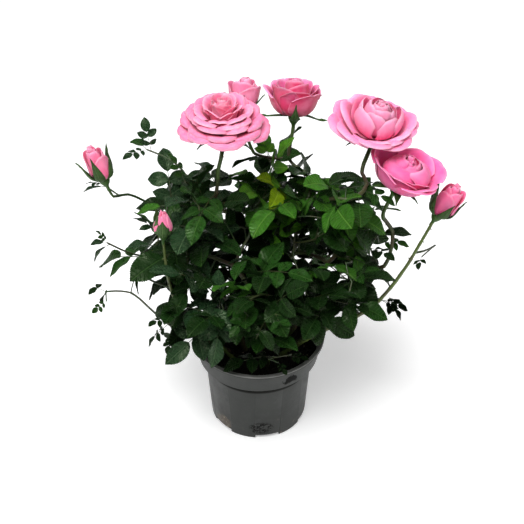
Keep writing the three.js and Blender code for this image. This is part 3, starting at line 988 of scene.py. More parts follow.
def place_edge_leaves(branches, leaves):
    """Lone leaves on each mass's outer side. Returns the middles of the places that they take."""
    rng = random_for("edge leaves")
    taken = []
    for mass in masses:
        middle, half = (mass.low + mass.high) / 2, (mass.high - mass.low) / 2
        away = unit(middle - heart + 0.2 * UP)
        for _ in range(EDGE_COUNT):
            outward = unit(away + 0.5 * rng.standard_normal(3))
            foot, tip = middle + outward * half * EDGE_FOOT, middle + outward * half * EDGE_TIP
            number = attach(branches, foot, outward, rng, EDGE_STALK_REACH, outward)
            pairs = int(rng.choice([0, 1, 2], p=[0.35, 0.4, 0.25]))
            reach = np.linalg.norm(tip - branches.points[number])
            size = min(reach / (STALKS[pairs] + CURLED_REACH), EDGE_SIZE)
            heading = unit(tip - branches.points[number])
            face = across_to(UP + 0.5 * outward + 0.22 * rng.standard_normal(3), heading)
            tint = pick_tint(mass.name, rng)
            stalk = reach - CURLED_REACH * size
            leaves.leaf(branches, number, heading, face, size, pairs, tint, 0.2, stalk)
            taken.append(foot + LEAF_MIDDLE * (tip - foot))
    return taken


def place_leaves(branches, leaves, taken):
    """The crown's leaves, from its heart out, about places that are free."""
    rng = random_for("leaves")
    rows = sorted(zip(*leaf_sites(taken)), key=lambda row: np.linalg.norm(row[0] - heart))
    for site, outward, shell, name in rows:
        tint = pick_tint(name, rng)
        # Painted shade: low leaves are made dark instead of pale, and leaves inside the crown, and half
        # of those low down, take the near-black shade tint.
        if site[2] < SHADE_HEIGHT and tint in ("bright", "young"):
            tint = "dark"
        if not shell or (site[2] < DEEP_SHADE_HEIGHT and rng.uniform() < 0.5):
            tint = "shade"
        level = unit(outward * (1, 1, 0.35))
        lift = rng.uniform(0.1, 0.6) if name in RISING else rng.uniform(-0.12, 0.36)
        heading = unit(level + 0.36 * rng.standard_normal(3) + UP * lift)
        sizes = LEAFLET_SIZES.get(name, LEAFLET_SIZES[""])
        size = rng.triangular(*sizes) if shell else rng.uniform(20, 28)
        pairs = int(rng.choice([1, 2, 3], p=[0.3, 0.62, 0.08]))
        whole = size * (STALKS[pairs] + 1)
        base = site - heading * whole * LEAF_MIDDLE
        number = attach(branches, base, outward, rng)
        aim = unit(unit(site - branches.points[number]) + 0.5 * heading)
        face = unit(0.35 * level + UP + 0.34 * rng.standard_normal(3))
        arch = rng.uniform(0.05, 0.65)
        leaves.leaf(branches, number, aim, across_to(face, aim), size, pairs, tint, arch)


# How far apart a limb's nodes are, how much they swell and over which share of that way.
NODE_SPACING, NODE_SWELL, NODE_WIDTH = 17.0, 0.16, 0.07
# Twigs thicker than this have bark.
BOUGH_RADIUS = 1.25


def make_wood(branches):
    """Canes, arching canes, twigs and flower stems, with swollen nodes and prickles."""
    radii = branches.radii()
    points = np.array(branches.points)
    wood = {"bark": Soup(), "arch": Soup(), "twig": Soup(), "stem": Soup()}
    rng = random_for("bark")
    for kind, numbers in branches.chains:
        run, size = points[numbers], radii[numbers].copy()
        is_cane = kind in ("cane", "arch")
        if not is_cane:
            size[0] = size[1]
        step = 2.2 if is_cane else 4.0
        along = np.concatenate([[0], np.cumsum(np.linalg.norm(np.diff(run, axis=0), axis=1))])
        fine = np.linspace(0, along[-1], max(3, int(along[-1] / step) + 1))
        curve = np.stack([np.interp(fine, along, run[:, i]) for i in range(3)], -1)
        for _ in range(2 if kind != "shoot" else 6):
            curve[1:-1] = (curve[:-2] + 2 * curve[1:-1] + curve[2:]) / 4
        width = np.interp(fine, along, size)
        gap = (fine / NODE_SPACING + rng.uniform()) % 1 - 0.5
        knots = 1 + NODE_SWELL * np.exp(-(gap / NODE_WIDTH) ** 2)
        look = {"cane": "bark", "arch": "arch", "stem": "stem"}.get(kind, "twig")
        if look == "twig" and size.mean() > BOUGH_RADIUS:
            look = "bark"
        relief = 0.06 if look == "bark" else 0.03
        tube(wood[look], curve, width * knots, 10 if is_cane else 6, relief, rng)
        if look != "twig":
            add_prickles(wood[look], curve, width, rng)
    return wood


def add_prickles(soup, curve, width, rng):
    for i in range(2, len(curve) - 2, 3):
        if rng.uniform() > 0.4:
            continue
        tangent = unit(curve[i + 1] - curve[i - 1])
        out = across_to(rng.standard_normal(3), tangent)
        foot = curve[i] + out * width[i] * 0.7
        reach = rng.uniform(1.6, 2.8)
        run = np.array([foot, foot + out * reach * 0.5, foot + out * reach - tangent * reach * 0.35])
        tube(soup, run, [0.75, 0.36, 0.06], 5)


# ---- Flowers ----

# How petals stand, at five steps from the innermost to the outermost. Lengths are shares of the
# flower's reach or of its height over the hip, and widths and wraps of the petal's own length. A
# petal leaves the hip at its rise and comes to its spread at bend along its length. From turn on
# it rolls by its roll. These are degrees from the flower's axis. Edge says how far its sides roll
# back, hug how far it keeps to a round form about the axis, and at where the five steps stand, if
# they aren't evenly spaced.
HABITS = {
    "open": {
        "length": (0.80, 0.90, 0.98, 1.06, 1.14), "width": (0.60, 0.66, 0.68, 0.70, 0.76),
        "rise": (0, 34, 52, 60, 66), "spread": (-4, 2, 24, 54, 84), "roll": (-30, 10, 100, 130, 130),
        "wrap": (0.16, 0.30, 0.58, 1.10, 1.70), "edge": (0.0, 0.02, 0.03, 0.04, 0.05),
        "hug": (1.0, 0.9, 0.3, 0.0, 0.0), "turn": (0.70, 0.74, 0.76, 0.78, 0.78),
        "bend": (0.45, 0.50, 0.50, 0.45, 0.45),
    },
    "wide": {
        "length": (0.84, 0.92, 1.06, 1.08, 1.12), "width": (0.56, 0.62, 0.72, 0.84, 0.92),
        "rise": (0, 44, 88, 92, 84), "spread": (-6, -2, 4, 12, 58), "roll": (-20, -24, -34, 96, 90),
        "wrap": (0.17, 0.30, 0.42, 0.60, 0.90), "edge": (0.0, 0.01, 0.02, 0.04, 0.06),
        "hug": (1.0, 1.0, 1.0, 1.0, 0.1), "turn": (0.70, 0.66, 0.62, 0.78, 0.80),
        "bend": (0.45, 0.60, 0.78, 0.80, 0.48), "at": (0, 0.3, 0.58, 0.63, 1),
    },
    "cup": {
        "length": (0.90, 1.02, 1.38, 1.38, 1.36), "width": (0.50, 0.66, 1.06, 1.00, 1.00),
        "rise": (0, 50, 92, 96, 92), "spread": (-4, 0, 4, 12, 34), "roll": (-20, -50, -104, 56, 88),
        "wrap": (0.16, 0.30, 0.40, 0.50, 0.62), "edge": (0.0, 0.0, 0.0, 0.03, 0.06),
        "hug": (1.0, 1.0, 1.0, 1.0, 0.2), "turn": (0.60, 0.52, 0.50, 0.80, 0.80),
        "bend": (0.45, 0.60, 0.72, 0.74, 0.66), "at": (0, 0.3, 0.56, 0.62, 1),
    },
    "side": {
        "length": (0.96, 1.02, 1.10, 1.18, 1.24), "width": (0.62, 0.78, 0.92, 1.00, 1.04),
        "rise": (0, 38, 72, 90, 98), "spread": (-6, 0, 4, 10, 18), "roll": (-30, -16, 10, 50, 84),
        "wrap": (0.18, 0.32, 0.46, 0.58, 0.70), "edge": (0.0, 0.0, 0.02, 0.04, 0.06),
        "hug": (1.0, 1.0, 0.9, 0.8, 0.6), "turn": (0.70, 0.74, 0.78, 0.80, 0.82),
        "bend": (0.45, 0.50, 0.54, 0.58, 0.60),
    },
    "half": {
        "length": (0.98, 1.00, 1.04, 1.06, 1.06), "width": (0.52, 0.74, 0.96, 1.08, 1.10),
        "rise": (0, 20, 46, 68, 82), "spread": (-4, -4, -2, 3, 9), "roll": (-20, -16, -10, 4, 30),
        "wrap": (0.18, 0.26, 0.36, 0.46, 0.58), "edge": (0.0, 0.0, 0.01, 0.03, 0.05),
        "hug": (1.0, 1.0, 1.0, 0.9, 0.8), "turn": (0.70, 0.70, 0.76, 0.80, 0.82),
        "bend": (0.45, 0.48, 0.52, 0.56, 0.56),
    },
    "bud": {
        "length": (1.00, 1.00, 0.98, 0.96, 0.92), "width": (0.42, 0.52, 0.62, 0.70, 0.72),
        "rise": (0, 16, 36, 54, 66), "spread": (-4, -6, -7, -5, -2), "roll": (-6, -10, -14, -8, 16),
        "wrap": (0.16, 0.20, 0.27, 0.33, 0.37), "edge": (0.0, 0.0, 0.0, 0.02, 0.05),
        "hug": (1.0, 1.0, 1.0, 1.0, 0.9), "turn": (0.70, 0.70, 0.70, 0.70, 0.75),
        "bend": (0.45, 0.45, 0.45, 0.45, 0.45),
    },
    "tight": {
        "length": (1.00, 1.00, 1.00, 1.00, 1.00), "width": (0.42, 0.56, 0.70, 0.80, 0.86),
        "rise": (0, 26, 46, 62, 72), "spread": (-6, -12, -18, -22, -26), "roll": (-4, -6, -8, -6, 0),
        "wrap": (0.16, 0.20, 0.27, 0.33, 0.37), "edge": (0.0, 0.0, 0.0, 0.0, 0.02),
        "hug": (1.0, 1.0, 1.0, 1.0, 1.0), "turn": (0.70, 0.70, 0.70, 0.70, 0.70),
        "bend": (0.45, 0.48, 0.50, 0.54, 0.56),
    },
}
# The least and most that petals round their tips, and how deep the innermost and the outermost
# ruffle, in millimetres.
ROUNDING = {
    "cup": (0.10, 0.20), "open": (0.14, 0.26), "side": (0.12, 0.24), "half": (0.18, 0.30),
    "tight": (0.5, 0.6), "": (0.22, 0.34),
}
RUFFLES = {"open": (0.06, 0.12), "bud": (0.10, 0.10), "tight": (0.0, 0.05), "": (0.15, 0.30)}
# How much longer petals are to the left, and how much shorter at the back and at the front.
SKEWS = {
    "flower_right": (0.14, 0.42, 0.0), "flower_right_low": (-0.04, 0.08, 0.24),
    "flower_middle": (0.06, 0.0, 0.0),
}
# How far a flower nods on its stem, added to its axis, and what the backs of its petals keep of
# red, green and blue.
NODS = {"flower_right": (-0.12, -0.16, 0), "flower_right_low": (0.10, 0.06, 0)}
# The darker backs, crimson at their foot, are partly the petals' own colour and partly painted shade.
BACKS = {
    "flower_middle": (0.72, 0.20, 0.34), "flower_right_low": (0.95, 0.70, 0.80),
    "": (1, 0.95, 0.95),
}
# Forms whose petals take their length from the flower's height. The others' take it from its reach.
BY_HEIGHT = ("side", "half", "bud", "tight")

# How sepals stand: rise, spread and roll as for petals, and their length and width as shares of
# the hip's radius.
SEPALS = {
    "open": (95, 122, 10, 4.4, 1.5), "wide": (95, 118, 10, 4.4, 1.5), "cup": (90, 106, 14, 4.0, 1.6),
    "side": (80, 92, -34, 5.6, 1.1), "half": (62, 30, 24, 4.6, 1.6), "bud": (72, 2, 26, 6.4, 2.1),
    "tight": (78, -6, 0, 5.2, 5.6),
}
# Rise, spread, roll and bend of the large sepal that clasps the front of a flower seen side on.
CLASPING = (104, 20, 6, 0.74)

# Each flower's form and number of petals, and the colours of a petal's foot, body and rim.
# The foot colours hold painted shade in part, and the rim colours a painted highlight in part.
BLOOMS = {
    "flower_left": ("open", 62, (0.66, 0.040, 0.16), (0.88, 0.20, 0.37), (0.97, 0.52, 0.63)),
    "flower_left_back": ("half", 12, (0.60, 0.022, 0.15), (0.88, 0.19, 0.39), (0.97, 0.50, 0.64)),
    "flower_middle": ("side", 20, (0.50, 0.014, 0.09), (0.88, 0.14, 0.38), (0.97, 0.50, 0.69)),
    "flower_right": ("wide", 46, (0.66, 0.035, 0.17), (0.91, 0.22, 0.43), (0.97, 0.53, 0.67)),
    "flower_right_low": ("cup", 24, (0.60, 0.018, 0.13), (0.90, 0.11, 0.36), (0.97, 0.42, 0.62)),
    "bud_right": ("bud", 14, (0.50, 0.017, 0.11), (0.86, 0.115, 0.32), (0.95, 0.36, 0.50)),
    "bud_far_left": ("bud", 11, (0.48, 0.015, 0.10), (0.86, 0.15, 0.32), (0.95, 0.42, 0.55)),
    "bud_left": ("tight", 10, (0.48, 0.015, 0.10), (0.84, 0.14, 0.30), (0.93, 0.36, 0.50)),
}
STEPS = np.linspace(0, 1, 5)
FINE_STEPS = 60
# How high a hip is, as a share of its radius.
HIP_HEIGHT = 1.9
# The outline of a hip from its stem up: heights and widths as shares of its radius.
HIP_HEIGHTS = np.array([-1.0, 0.0, 0.25, 0.55, 0.85, 1.1, 1.5, 1.9, 2.1])
HIP_WIDTHS = np.array([0.30, 0.34, 0.48, 0.70, 0.87, 0.96, 1.0, 0.98, 0.6])


class Bloom:
    """A flower's foot, axis and sizes, read from its solid."""

    def __init__(self, name):
        solid = flowers[name]
        verts = solid.verts
        self.axis = UP
        for _ in range(5):
            along = verts @ self.axis
            self.foot = verts[along < along.min() + 2].mean(0)
            self.axis = unit(solid.centroid() - self.foot)
        self.axis = unit(self.axis + NODS.get(name, (0, 0, 0)))
        along = (verts - self.foot) @ self.axis
        out = verts - self.foot - along[:, None] * self.axis
        self.height = along.max()
        self.reach = np.percentile(np.linalg.norm(out, axis=1), 92)
        self.side = across_to(np.array([1.0, 0.2, 0.1]), self.axis)
        self.other = np.cross(self.axis, self.side)
        self.hip = min(4.6, 0.4 * self.reach + 0.4)

    def place(self, out, up, bearing):
        return self.foot + self.axis * up + out * (
            self.side * math.cos(bearing) + self.other * math.sin(bearing)
        )


def petal(soup, bloom, bearing, start, shape, rng, cell, columns=11, thick=0.5):
    """One petal as a closed thin sheet that rises, spreads, wraps those inside it and rolls back."""
    parts = ("length", "width", "rise", "spread", "roll")
    length, width, rise, spread, roll = (shape[key] for key in parts)
    rows = 13
    radial = bloom.side * math.cos(bearing) + bloom.other * math.sin(bearing)
    tangent = np.cross(bloom.axis, radial)
    picks = np.rint(FINE_STEPS * (1 - (1 - np.linspace(0, 1, rows)) ** 1.35)).astype(int)
    u = np.linspace(-1, 1, columns)[None, :]
    fine = np.linspace(0, 1, FINE_STEPS + 1)[:, None]
    v = fine[picks]
    tips = 1 - shape["round"] * np.abs(u) ** 2.2 - shape["notch"] * np.exp(-(u / 0.2) ** 2)
    body = np.radians(rise + (spread - rise) * smooth(0, shape["bend"], fine * tips))
    angle = body + math.radians(roll) * smooth(shape["turn"], 1, fine)

    def total(values):
        steps = values[:-1] * length * tips / FINE_STEPS
        return np.concatenate([np.zeros((1, columns)), np.cumsum(steps, axis=0)])[picks]

    mid_out, mid_up = start[0] + total(np.sin(angle)), start[1] + total(np.cos(angle))
    lean, stand = angle[picks], body[picks]
    if shape["pointed"]:
        half = width / 2 * np.maximum(0.04, np.sin(math.pi * v ** 0.55) ** 0.8) + 0.2
    else:
        half = width / 2 * (0.30 + 0.70 * smooth(0, 0.62, v))
    hug = shape["hug"]
    wrap = (1 - hug) * shape["wrap"] + hug * np.maximum(mid_out, 2.0)
    theta = np.clip(u * half / wrap, -1.45, 1.45)
    inward = wrap * (1 - np.cos(theta))
    phase = rng.uniform(0, 2 * math.pi, 2)
    ruffle = shape["ruffle"] * smooth(0.5, 1, v) * (
        np.sin(2.3 * math.pi * u + phase[0]) + 0.5 * np.sin(4.1 * math.pi * u + phase[1])
    )
    back = shape["edge"] * length * np.abs(u) ** 3 * smooth(0.4, 1, v)
    crease = 0.35 * np.exp(-(u / 0.12) ** 2) * smooth(0.15, 0.6, v)
    away = back + ruffle + crease
    lift_out = mid_out - inward * np.cos(stand * (1 - hug)) + away * np.cos(lean)
    lift_up = mid_up + inward * np.sin(stand * (1 - hug)) - away * np.sin(lean)
    grid = (bloom.foot + lift_out[..., None] * radial + lift_up[..., None] * bloom.axis
            + (wrap * np.sin(theta))[..., None] * tangent)
    upper, under = grid_faces(rows, columns)
    verts = sheet_verts(grid, thick)
    uv = np.stack(np.broadcast_arrays(u / 2 + 0.5, v), -1)
    uv = np.concatenate([uv.reshape(-1, 2), uv[1:-1, 1:-1].reshape(-1, 2)])
    soup.add(verts, [(upper, 0), (under, 1)], atlas(uv, np.array([cell])))


def make_bloom(name):
    """The petals of one flower, from a tight whorl out, each turned by the golden angle."""
    habit, count = BLOOMS[name][:2]
    keys = HABITS[habit]
    bloom = Bloom(name)
    rng = random_for(name)
    soup = Soup()
    tight = habit in ("bud", "tight")
    size = bloom.height - HIP_HEIGHT * bloom.hip if habit in BY_HEIGHT else bloom.reach
    for i in range(count):
        share = i / (count - 1)
        at = keys.get("at", STEPS)
        shape = {key: float(np.interp(share, at, values)) for key, values in keys.items()}
        shape["length"] *= size * rng.uniform(0.95, 1.05)
        shape["width"] *= shape["length"] * rng.uniform(0.92, 1.08)
        for key in ("rise", "spread", "roll"):
            shape[key] += rng.normal(0, 1.5 if tight else 4.5)
        shape["round"] = rng.uniform(*ROUNDING.get(habit, ROUNDING[""]))
        shape["notch"] = rng.uniform(0.0, 0.05)
        ruffle = np.interp(share, (0, 1), RUFFLES.get(habit, RUFFLES[""]))
        shape["ruffle"] = ruffle * rng.uniform(0.5, 1.1)
        shape["edge"] *= rng.uniform(0.4, 1.3)
        shape["wrap"] *= shape["length"]
        shape["pointed"] = False
        start = (0.5 + 0.56 * bloom.hip * share, bloom.hip * HIP_HEIGHT + 1.6 * (1 - share))
        bearing = i * GOLDEN_ANGLE + rng.normal(0, 0.12)
        outward = bloom.place(1, 0, bearing) - bloom.foot
        longer, back, front = SKEWS.get(name, (0, 0, 0))
        facing = outward @ FRONT
        shorter = back * max(0, -facing) + front * max(0, facing)
        shape["length"] *= 1 - share * (longer * outward[0] + shorter)
        cell = int(rng.integers(0, ATLAS_CELLS ** 2))
        petal(soup, bloom, bearing, start, shape, rng, cell, thick=0.35 + 0.25 * share)
    deep, body, pale = BLOOMS[name][2:]
    back = np.array(BACKS.get(name, BACKS[""]))
    # Darker backs, crimson at the foot: partly the petals' own colour, partly painted shade.
    dull = tuple(back * (0.8 * np.array(body) + 0.2 * np.array(pale)))
    inner = petal_material(f"petal_{name}", deep, body, pale)
    crimson = tuple(back ** 2 * (0.4 * np.array(deep) + 0.6 * np.array(body)))
    outer = petal_material(f"petal_back_{name}", crimson, dull, pale)
    soup.piece(f"{name}_petals", "petal", [inner, outer], [name], has_uv=True)


def add_sepals(soup, name):
    """The swollen hip and the five sepals under a flower."""
    habit = BLOOMS[name][0]
    bloom = Bloom(name)
    rng = random_for(name + " sepals")
    run = bloom.foot + np.outer(HIP_HEIGHTS * bloom.hip, bloom.axis)
    tube(soup, run, HIP_WIDTHS * bloom.hip, 16, relief=0.02, rng=rng)
    rise, spread, roll, length, width = SEPALS[habit]
    front = math.atan2(bloom.other @ FRONT, bloom.side @ FRONT)
    for i in range(5):
        shape = {
            "length": length * bloom.hip * rng.uniform(0.9, 1.15),
            "width": width * bloom.hip * rng.uniform(0.9, 1.1),
            "rise": rise + rng.normal(0, 4), "spread": spread + rng.normal(0, 5),
            "roll": roll + rng.normal(0, 10), "round": 0.2, "notch": 0.0, "ruffle": 0.25,
            "edge": 0.0, "wrap": max(bloom.hip * 1.1, bloom.reach * 0.6), "pointed": True, "hug": 0.0,
            "turn": 0.7, "bend": 0.45,
        }
        if habit == "side" and i == 0:
            shape.update(zip(("rise", "spread", "roll", "bend"), CLASPING))
            shape["width"] *= 2
            shape["length"] *= 1.3
        start = (bloom.hip * 0.84, bloom.hip * 1.72)
        petal(soup, bloom, front + i * SEPAL_ANGLE, start, shape, rng, i, columns=7)


# ---- Pot and soil ----

# Radii of the pot at its foot, the collar's foot and the wall's top, thicknesses of its wall and
# floor, how far down from the rim its collar and lip reach, how far the lip stands out, and the
# height of the step under the collar.
POT_SEGMENTS = 144
POT = {
    "foot": 43.8, "wall": 1.6, "floor": 5.6, "collar": 21.4, "collar_foot": 54.2, "wall_top": 48.4,
    "lip": 3.0, "lip_reach": 2.4, "step": 3.4,
}
# The notches and drain holes: how many, and the bearing of the first. Insets are from the foot.
DRAINS = {"count": 6, "bearing": 281}
NOTCH = {"width": 22, "reach": 12, "height": 4.2}
HOLE = {"radius": 4, "inset": 6.5, "sides": 24}
CRUMBS = 1500
# One crumb in so many is a pale speck of grit.
SPECK_EVERY = 34


def rounded(points, radii, steps=5):
    """A profile whose corners are rounded off, each by its own radius."""
    points = [np.array(p, float) for p in points]
    out = [points[0]]
    for before, corner, after, radius in zip(points, points[1:], points[2:], radii):
        if radius == 0:
            out.append(corner)
            continue
        a, b = unit(before - corner), unit(after - corner)
        half = math.acos(np.clip(a @ b, -1, 1)) / 2
        reach = min(radius / math.tan(half), 0.48 * np.linalg.norm(before - corner),
                    0.48 * np.linalg.norm(after - corner))
        start, end = corner + a * reach, corner + b * reach
        for share in np.linspace(0, 1, steps):
            out.append((1 - share) ** 2 * start + 2 * share * (1 - share) * corner + share ** 2 * end)
    return np.array(out + [points[-1]])


def lathe(profile, segments):
    """A closed solid from a profile that starts and ends on the axis."""
    inner = profile[1:-1]
    angles = 2 * math.pi * np.arange(segments) / segments
    rings = np.stack([
        np.outer(inner[:, 0], np.cos(angles)), np.outer(inner[:, 0], np.sin(angles)),
        np.repeat(inner[:, 1:2], segments, axis=1),
    ], -1)
    verts = np.concatenate([rings.reshape(-1, 3), [[0, 0, profile[0, 1]], [0, 0, profile[-1, 1]]]])
    return verts, ring_faces(len(inner), segments)


def make_pot():
    """The pot as a turned wall, with the notches and drain holes cut out of its foot."""
    collar = RIM_HEIGHT - POT["collar"]
    step = collar - POT["step"]
    lip = RIM_HEIGHT - POT["lip"]
    neck = RIM_RADIUS - POT["lip_reach"]
    wall = POT["wall"]
    points = [
        (0, 0), (POT["foot"], 0), (POT["wall_top"], step), (POT["wall_top"] + 3.2, step + 1.2),
        (POT["collar_foot"], collar), (neck, lip), (RIM_RADIUS, lip + 0.3),
        (RIM_RADIUS, RIM_HEIGHT), (neck - wall, RIM_HEIGHT - 0.5), (POT["collar_foot"] - wall, collar),
        (POT["wall_top"] - wall, step - 1.4), (POT["foot"] - wall, POT["floor"]), (0, POT["floor"]),
    ]
    radii = [2.0, 1.2, 2.6, 2.4, 0.9, 0.5, 0.9, 0.8, 2.4, 2.4, 2.0]
    soup = Soup()
    soup.add(*lathe(rounded(points, radii), POT_SEGMENTS))
    pot = soup.piece("pot_wall", "pot_plastic", [pot_material()], ["pot"])
    spokes = 2 * math.pi * np.arange(HOLE["sides"]) / HOLE["sides"]
    notch = np.array([(-1, -1), (1, -1), (1, 1), (-1, 1)]) * (NOTCH["reach"], NOTCH["width"] / 2)
    hole = HOLE["radius"] * np.stack([np.cos(spokes), np.sin(spokes)], -1) - (HOLE["inset"], 0)
    verts, faces = [], []
    for i in range(DRAINS["count"]):
        bearing = math.radians(DRAINS["bearing"] + 360 * i / DRAINS["count"])
        for outline, height in ((notch, NOTCH["height"]), (hole, 2 * POT["floor"])):
            start, count = len(verts), len(outline)
            ring = np.column_stack([outline + (POT["foot"], 0), np.zeros(count)])
            verts += [*turned(ring - UP * height, UP, bearing), *turned(ring + UP * height, UP, bearing)]
            ends = np.arange(count)
            faces += [(start + ends[::-1]).tolist(), (start + count + ends).tolist()]
            for a, b in zip(ends, np.roll(ends, -1)):
                faces.append([start + a, start + b, start + count + b, start + count + a])
    cutter = bpy.data.meshes.new("drain_cutter")
    cutter.from_pydata((np.array(verts) * MM).tolist(), [], faces)
    tool = bpy.data.objects.new("drain_cutter", cutter)
    bpy.context.scene.collection.objects.link(tool)
    cut = pot.modifiers.new("drains", "BOOLEAN")
    cut.object = tool
    cut.solver = "EXACT"
    cut.use_self = True
    bpy.context.view_layer.update()
    finished = pot.evaluated_get(bpy.context.evaluated_depsgraph_get())
    result = bpy.data.meshes.new_from_object(finished)
    pot.modifiers.clear()
    pot.data = result
    bpy.data.objects.remove(tool)


def make_soil():
    """A level bed of peat that sinks a little towards the wall, with loose crumbs on it."""
    rng = random_for("soil")
    edge = POT["collar_foot"] - POT["wall"] - 0.3
    spokes, rings = 96, 26
    collar = RIM_HEIGHT - POT["collar"]
    profile = [
        (0, POT["floor"] + 0.4), (POT["foot"] - 2.4, POT["floor"] + 0.4),
        (POT["wall_top"] - POT["wall"] - 0.6, collar - POT["step"] - 2.0),
        (edge - 0.2, collar + 1.5), (edge, SOIL_HEIGHT - 1.6),
    ]
    for k in range(1, rings):
        out = 1 - k / rings
        profile.append((edge * out, SOIL_HEIGHT - 1.4 * smooth(0.6, 1, out)))
    verts, faces = lathe(np.array(profile + [(0, SOIL_HEIGHT)], float), spokes)
    top = (verts[:, 2] > SOIL_HEIGHT - 3) & (np.hypot(verts[:, 0], verts[:, 1]) < edge - 0.5)
    verts[top, 2] += rng.normal(-0.3, 0.55, top.sum())
    soup = Soup()
    soup.add(verts, faces)
    shape = bmesh.new()
    bmesh.ops.create_icosphere(shape, subdivisions=1, radius=1.0)
    crumb = np.array([v.co for v in shape.verts])
    crumb_faces = np.array([[v.index for v in f.verts] for f in shape.faces])
    shape.free()
    light = Soup()
    for i in range(CRUMBS):
        out = (edge - 2.5) * math.sqrt(rng.uniform())
        bearing = rng.uniform(0, 2 * math.pi)
        size = rng.uniform(0.5, 1.5) * (1.6 if rng.uniform() > 0.93 else 1)
        height = SOIL_HEIGHT + rng.uniform(-0.5, 0.4)
        middle = np.array([out * math.cos(bearing), out * math.sin(bearing), height])
        rough = crumb * rng.uniform(0.7, 1.2, (len(crumb), 1)) * rng.uniform(0.6, 1.3, 3)
        (light if i % SPECK_EVERY == 0 else soup).add(middle + rough * size, [(crumb_faces, 0)])
    peat = soil_material("peat", (0.0025, 0.0020, 0.0016), (0.016, 0.012, 0.008))
    grit = soil_material("grit", (0.10, 0.085, 0.06), (0.26, 0.23, 0.18))
    soup.piece("soil_bed", "soil", [peat], ["soil"])
    light.piece("soil_specks", "soil", [grit])


# ---- The plant ----

# The colours of a leaf's skin and veins, its roughness and its gloss.
LEAF_TINTS = {
    # The near-black shade tint is painted shade, for the leaves inside and low in the crown.
    "shade": ((0.0010, 0.0060, 0.0005), (0.007, 0.020, 0.003), 0.50, 0.04),
    "dark": ((0.0050, 0.027, 0.0030), (0.036, 0.090, 0.020), 0.29, 0.36),
    "mid": ((0.013, 0.064, 0.0060), (0.064, 0.165, 0.030), 0.29, 0.42),
    "bright": ((0.040, 0.165, 0.012), (0.140, 0.330, 0.045), 0.34, 0.36),
    "young": ((0.072, 0.250, 0.012), (0.200, 0.410, 0.045), 0.40, 0.34),
    "shoot": ((0.240, 0.400, 0.006), (0.360, 0.540, 0.030), 0.46, 0.28),
    "grey": ((0.016, 0.052, 0.018), (0.080, 0.145, 0.066), 0.27, 0.48),
}


# What the undersides of leaves take some of their colour from.
UNDERSIDE = (0.07, 0.13, 0.05)


def make_plant():
    branches = Branches()
    grow_canes(branches)
    grow_twigs(branches)
    grow_stems(branches)
    branches.relax()
    leaves = Leaves(list(flowers.values()))
    place_leaves(branches, leaves, place_edge_leaves(branches, leaves))
    branches.shed(leaves.carriers)
    wood = make_wood(branches)
    looks = {
        "bark": bark_material("bark", (0.038, 0.062, 0.015), (0.052, 0.036, 0.019), 0.5),
        "arch": bark_material("arch_bark", (0.085, 0.130, 0.026), (0.080, 0.085, 0.030), 0.45),
        "twig": bark_material("twig", (0.016, 0.046, 0.007), (0.034, 0.042, 0.012), 0.42),
        "stem": bark_material("flower_stem", (0.050, 0.110, 0.018), (0.055, 0.080, 0.022), 0.40),
    }
    arches = [name for name in CANES if "arch" in name]
    canes = [name for name in CANES if name not in arches]
    wood["bark"].piece("canes_and_boughs", "cane_bark", [looks["bark"]], canes)
    wood["arch"].piece("arching_canes", "cane_bark", [looks["arch"]], arches)
    wood["twig"].piece("twigs", "green_stem", [looks["twig"]])
    wood["stem"].piece("flower_stems", "green_stem", [looks["stem"]], STEMS)
    tints = {}
    for name, (colour, vein, rough, gloss) in LEAF_TINTS.items():
        pale = tuple(0.86 * a + 0.14 * b for a, b in zip(colour, UNDERSIDE))
        tints[name] = (leaf_material(f"leaf_{name}", colour, vein, rough, gloss),
                       leaf_material(f"leaf_under_{name}", pale, vein, 0.6, 0.06, underside=True))
    for tint, soup, materials in leaves.make(tints):
        soup.piece(f"leaves_{tint}", "leaf", materials, MASSES if tint == "dark" else (), has_uv=True)
    stalks = Soup()
    for points, radii in leaves.stalks:
        tube(stalks, points, radii, 5)
    stalks.piece("leaf_stalks", "green_stem", [looks["twig"]])
    sepals = Soup()
    for name in FLOWERS:
        make_bloom(name)
        add_sepals(sepals, name)
    skin = leaf_material("sepal", (0.055, 0.135, 0.030), (0.14, 0.24, 0.07), 0.5, 0.3)
    under = leaf_material("sepal_under", (0.075, 0.160, 0.045), (0.16, 0.26, 0.09), 0.5, 0.2)
    sepals.piece("sepals_and_hips", "green_stem", [skin, under], has_uv=True)


# ---- Studio ----

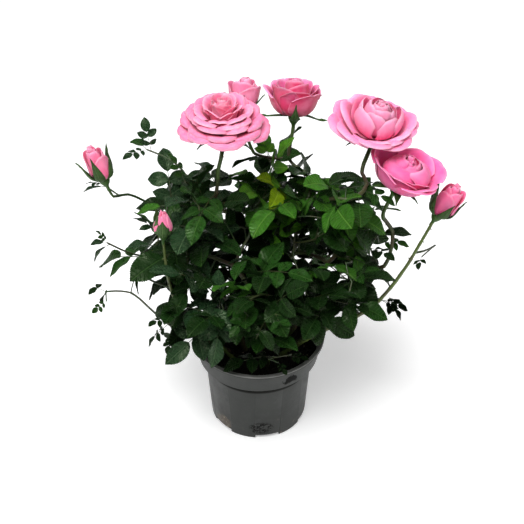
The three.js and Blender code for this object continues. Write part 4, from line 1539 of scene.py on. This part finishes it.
VIEW_PITCH = math.radians(37.4)
VIEW_DISTANCE = 0.935
VIEW_MIDDLE = Vector((0.0033, 0.0, 0.1703))
# Each lamp's name, place in metres, size in metres and power in watts.
LAMPS = (
    ("key", (-0.24, -0.55, 1.55), 1.1, 37),
    ("fill", (0.95, -0.85, 0.90), 1.2, 4),
    ("back", (0.1, 1.1, 1.3), 1.4, 6),
)
FLOOR_HALF = 4.0


def make_studio():
    scene = bpy.context.scene
    scene.view_settings.view_transform = "Standard"
    camera = bpy.data.objects.new("camera", bpy.data.cameras.new("camera"))
    camera.data.lens, camera.data.sensor_width = 75, 36
    back = Vector((0, -math.cos(VIEW_PITCH), math.sin(VIEW_PITCH)))
    camera.location = VIEW_MIDDLE + back * VIEW_DISTANCE
    camera.rotation_euler = (math.pi / 2 - VIEW_PITCH, 0, 0)
    scene.collection.objects.link(camera)
    scene.camera = camera
    for name, place, size, energy in LAMPS:
        lamp = bpy.data.lights.new(name, "AREA")
        lamp.size, lamp.energy = size, energy
        thing = bpy.data.objects.new(name, lamp)
        thing.location = place
        thing.rotation_euler = (Vector(place) - VIEW_MIDDLE).to_track_quat("Z", "Y").to_euler()
        scene.collection.objects.link(thing)
    world = bpy.data.worlds.new("studio")
    world.use_nodes = True
    sky = world.node_tree.nodes["Background"].inputs
    sky["Color"].default_value = (0.96, 0.98, 1.0, 1)
    sky["Strength"].default_value = 0.07
    scene.world = world
    mesh = bpy.data.meshes.new("floor")
    square = [(x * FLOOR_HALF, y * FLOOR_HALF, 0) for x, y in ((-1, -1), (1, -1), (1, 1), (-1, 1))]
    mesh.from_pydata(square, [], [(0, 1, 2, 3)])
    floor = bpy.data.objects.new("floor", mesh)
    scene.collection.objects.link(floor)
    n = Nodes("floor")
    n.set(Base_Color=(0.92, 0.92, 0.92, 1), Roughness=0.8, Specular_IOR_Level=0.1)
    n.set(Emission_Color=(1.0, 1.0, 1.0, 1), Emission_Strength=0.32)
    mesh.materials.append(n.material)


make_studio()
make_pot()
make_soil()
make_plant()
